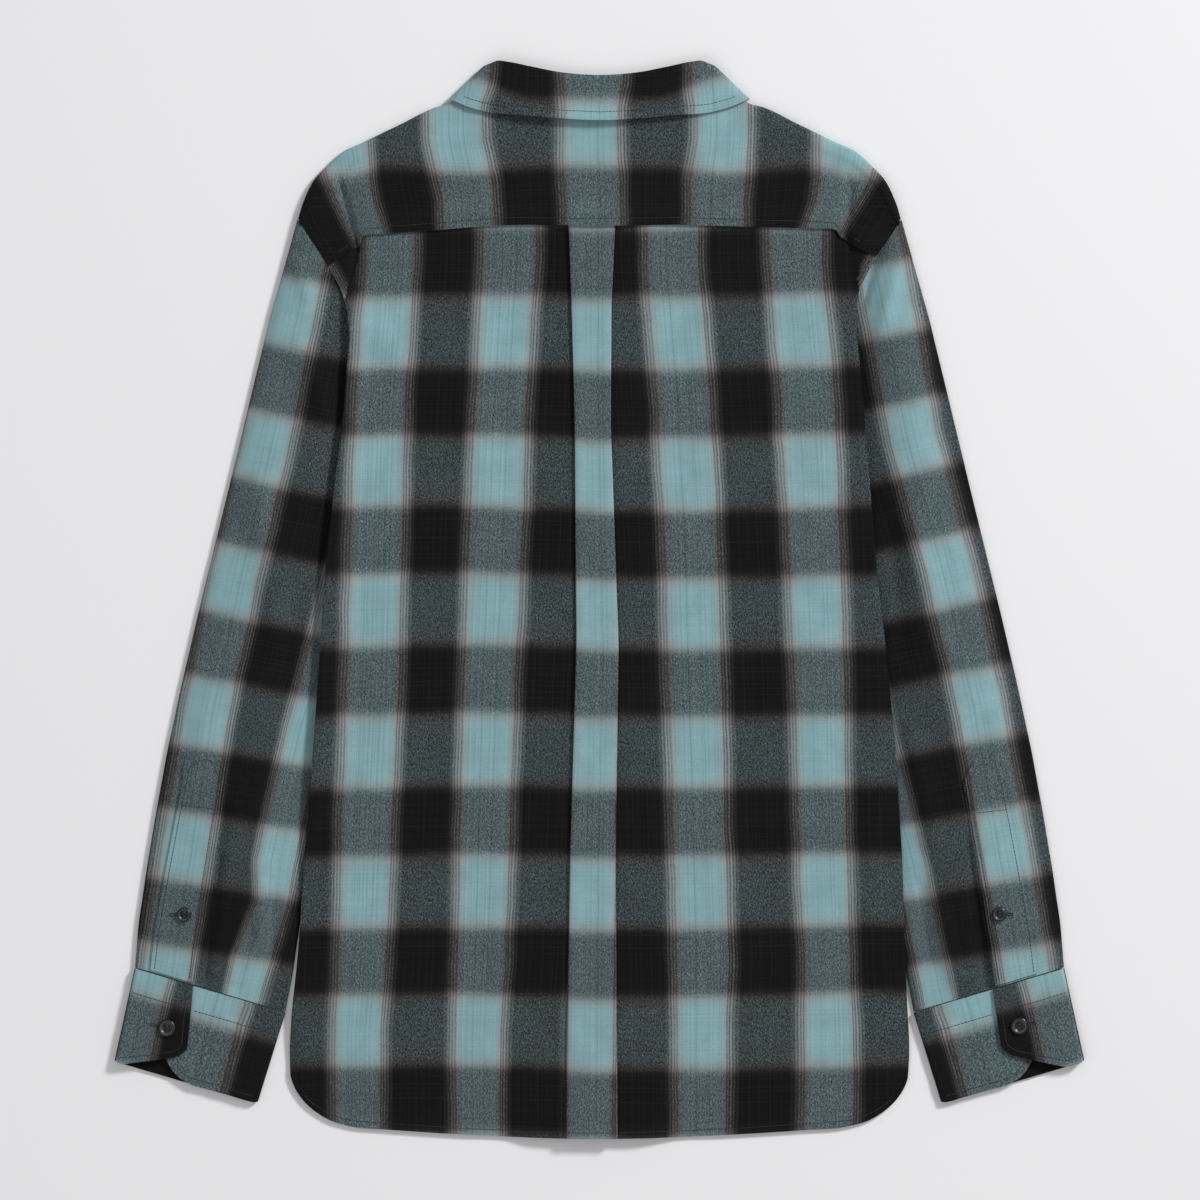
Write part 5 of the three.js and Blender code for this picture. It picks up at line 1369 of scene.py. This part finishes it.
for side in ("left", "right"):
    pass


# BUTTONS. Cast polyester resin turned to a rim and a shallow dish, with four drilled holes, polished,
# and sewn on with two bars of thread.
def resin():
    material = bpy.data.materials.new("polyester_resin_buttons")
    material.use_nodes = True
    tree = material.node_tree
    tree.nodes.clear()
    place_in = node(tree, "ShaderNodeTexCoord").outputs["Object"]
    cloud = node(tree, "ShaderNodeTexNoise", None, Vector=place_in, Scale=260.0, Detail=3.0, Distortion=1.2)
    ramp = node(tree, "ShaderNodeValToRGB", None, Fac=cloud.outputs[0])
    ramp.color_ramp.elements[0].position = 0.3
    ramp.color_ramp.elements[0].color = linear("#0a0b0b")
    ramp.color_ramp.elements[1].position = 0.75
    ramp.color_ramp.elements[1].color = linear("#191b1d")
    polish = node(tree, "ShaderNodeMapRange", None, Value=cloud.outputs[0], To_Min=0.24, To_Max=0.36)
    # Painted highlight: a ring round the rim's crest is painted paler, standing in for the light it catches
    rim_highlight_paint = node(tree, "ShaderNodeAttribute", {"attribute_name": "rim_highlight_paint"}).outputs["Fac"]
    rim_highlighted = node(tree, "ShaderNodeMix", {"data_type": "RGBA"}, _0=rim_highlight_paint, _6=ramp.outputs[0], _7=linear("#6b7376"))
    shader = node(tree, "ShaderNodeBsdfPrincipled", None, Base_Color=rim_highlighted.outputs[2], Roughness=polish.outputs[0])
    shader.inputs["IOR"].default_value = 1.55
    shader.inputs["Specular IOR Level"].default_value = 0.4
    shader.inputs["Coat Weight"].default_value = 0.15
    shader.inputs["Coat Roughness"].default_value = 0.12
    node(tree, "ShaderNodeOutputMaterial", None, Surface=shader.outputs[0])
    return material


button_resin = resin()


def turned_button(name, x, y, z, diameter, lean):
    """Button with its rim, dish and holes as one turned grid, and a flat underside."""
    radius = diameter / 2
    profile = [(0, 1.1), (0.2, 1.11), (0.36, 1.14), (0.54, 1.22), (0.63, 1.55), (0.7, 2.05), (0.79, 2.25),
               (0.88, 2.12), (0.95, 1.86), (0.99, 1.45), (1.0, 1.1), (0.98, 0.7), (0.92, 0.35), (0.82, 0.12),
               (0.6, 0.0), (0.3, 0.0), (0, 0.0)]
    rings = [profile[0]]
    for start, end in zip(profile, profile[1:]):
        parts = max(1, round(abs(end[0] - start[0]) * radius / 0.22)) if end[1] > 1.05 and start[0] < 0.6 else 2
        rings += [(lerp(start[0], end[0], n / parts), lerp(start[1], end[1], n / parts)) for n in range(1, parts + 1)]
    sides = 72
    points, faces, rim_highlight_paint = [], [], []
    for share, height in rings:
        for k in range(sides):
            # Painted highlight: a narrow pale ring painted at the rim's crest
            nap_patches_and_rim_highlight = 0.8 * math.exp(-(((share - 0.69) / 0.035) ** 2))
            angle = 2 * math.pi * k / sides
            px, py = share * radius * math.cos(angle), share * radius * math.sin(angle)
            h = height
            if height > 1.05 and share < 0.6:
                for n in range(4):
                    hx = 1.75 * math.cos(math.pi / 4 + n * math.pi / 2)
                    hy = 1.75 * math.sin(math.pi / 4 + n * math.pi / 2)
                    near = math.hypot(px - hx, py - hy)
                    h = lerp(0.1, h, ease(near, 0.72, 1.05)) if near < 1.05 else h
            rim_highlight_paint.append(nap_patches_and_rim_highlight if height > 1.05 else 0.0)
            points.append(Vector((px, py, h)))
    for ring in range(len(rings) - 1):
        for k in range(sides):
            a, b = ring * sides + k, ring * sides + (k + 1) % sides
            faces.append((a, a + sides, b + sides, b))
    mesh = bpy.data.meshes.new(name)
    mesh.from_pydata([(p.x / 1000, p.y / 1000, p.z / 1000) for p in points], [], faces)
    # The painted rim highlight is stored on the points for the material
    mesh.attributes.new("rim_highlight_paint", "FLOAT", "POINT").data.foreach_set("value", rim_highlight_paint)
    turn = Vector((0, 0, 1)).rotation_difference(lean).to_matrix().to_4x4()
    turn.translation = Vector((x / 1000, y / 1000, z / 1000))
    mesh.transform(turn)
    mesh.shade_smooth()
    piece = bpy.data.objects.new(name, mesh)
    bpy.context.scene.collection.objects.link(piece)
    bars = bpy.data.meshes.new(name + "_thread")
    bar_points, bar_faces = [], []
    for lane in (-1, 1):
        for n in range(4):
            off = lane * 1.24 + (n - 1.5) * 0.24
            start, end = Vector((-1.5, off, 1.16)) / 1000, Vector((1.5, off * 1.02, 1.16)) / 1000
            add_stitch(bar_points, bar_faces, start, end, Vector((0, 0, 1)), 0.0005, -0.2)
    bars.from_pydata(bar_points, [], bar_faces)
    bars.transform(turn)
    bars.shade_smooth()
    bars.materials.append(dark_thread)
    sewn_on = bpy.data.objects.new(name + "_thread", bars)
    bpy.context.scene.collection.objects.link(sewn_on)
    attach(sewn_on, "root")
    return piece


for side, sign in (("left", -1), ("right", 1)):
    button_x, button_y = CUFF_SIDE[side]["button"]
    spot, normal = on_cloth(tree_of(cuffs[side]), sign * button_x, button_y)
    made = turned_button(f"cuff_button_{side}_resin", sign * button_x, button_y, spot.z * 1000 + 0.2, 13.2, normal)
    place(made, button_resin, "button_resin", f"cuff_button_{side}")
    x, y = PLACKET_BUTTON[side]
    spot, normal = on_cloth(tree_of(plackets[side]), x, y)
    made = turned_button(f"placket_button_{side}_resin", x, y, spot.z * 1000 + 0.2, 11, normal)
    place(made, button_resin, "button_resin", f"placket_button_{side}")

for name in ["stand_button"] + [f"front_button_{n}" for n in range(1, 7)]:
    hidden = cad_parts[name]
    hidden.data.materials.clear()
    hidden.data.materials.append(button_resin)


# STAGE. A plain pale studio table seen from straight above, lit by one big soft source high at the upper
# right, as the narrow shadows under the collar and beside the pleat show, with pale light all round.
def paper():
    material = bpy.data.materials.new("studio_paper")
    material.use_nodes = True
    shader = material.node_tree.nodes["Principled BSDF"]
    shader.inputs["Base Color"].default_value = linear("#ebebec")
    shader.inputs["Roughness"].default_value = 0.95
    shader.inputs["Specular IOR Level"].default_value = 0.1
    return material


ground = bpy.data.meshes.new("studio_table")
ground.from_pydata([(-12, -12, 0), (12, -12, 0), (12, 12, 0), (-12, 12, 0)], [], [(0, 1, 2, 3)])
ground.materials.append(paper())
table = bpy.data.objects.new("studio_table", ground)
bpy.context.scene.collection.objects.link(table)

for name, place_at, size, power in (
    ("key", (4.3, 3.65, 3.45), 1.4, 384),
    ("fill", (-1.6, -2.2, 3.4), 2.8, 27),
):
    data = bpy.data.lights.new(name, "AREA")
    data.shape, data.size, data.energy = "DISK", size, power
    lamp = bpy.data.objects.new(name, data)
    lamp.location = place_at
    lamp.rotation_euler = Vector(place_at).to_track_quat("Z", "Y").to_euler()
    bpy.context.scene.collection.objects.link(lamp)

world = bpy.data.worlds.new("studio")
bpy.context.scene.world = world
world.use_nodes = True
world.node_tree.nodes["Background"].inputs[0].default_value = linear("#f7f6f8")
world.node_tree.nodes["Background"].inputs[1].default_value = 0.44

CAMERA_HEIGHT = 6.0
FRAME_WIDTH = 0.918
camera_data = bpy.data.cameras.new("camera")
camera_data.sensor_width = 36
camera_data.lens = 36 * (CAMERA_HEIGHT - 0.008) / FRAME_WIDTH
camera_data.clip_end = 60
camera = bpy.data.objects.new("camera", camera_data)
camera.location = (0.0004, -0.0003, CAMERA_HEIGHT)
bpy.context.scene.collection.objects.link(camera)
bpy.context.scene.camera = camera
bpy.context.scene.view_settings.view_transform = "Standard"
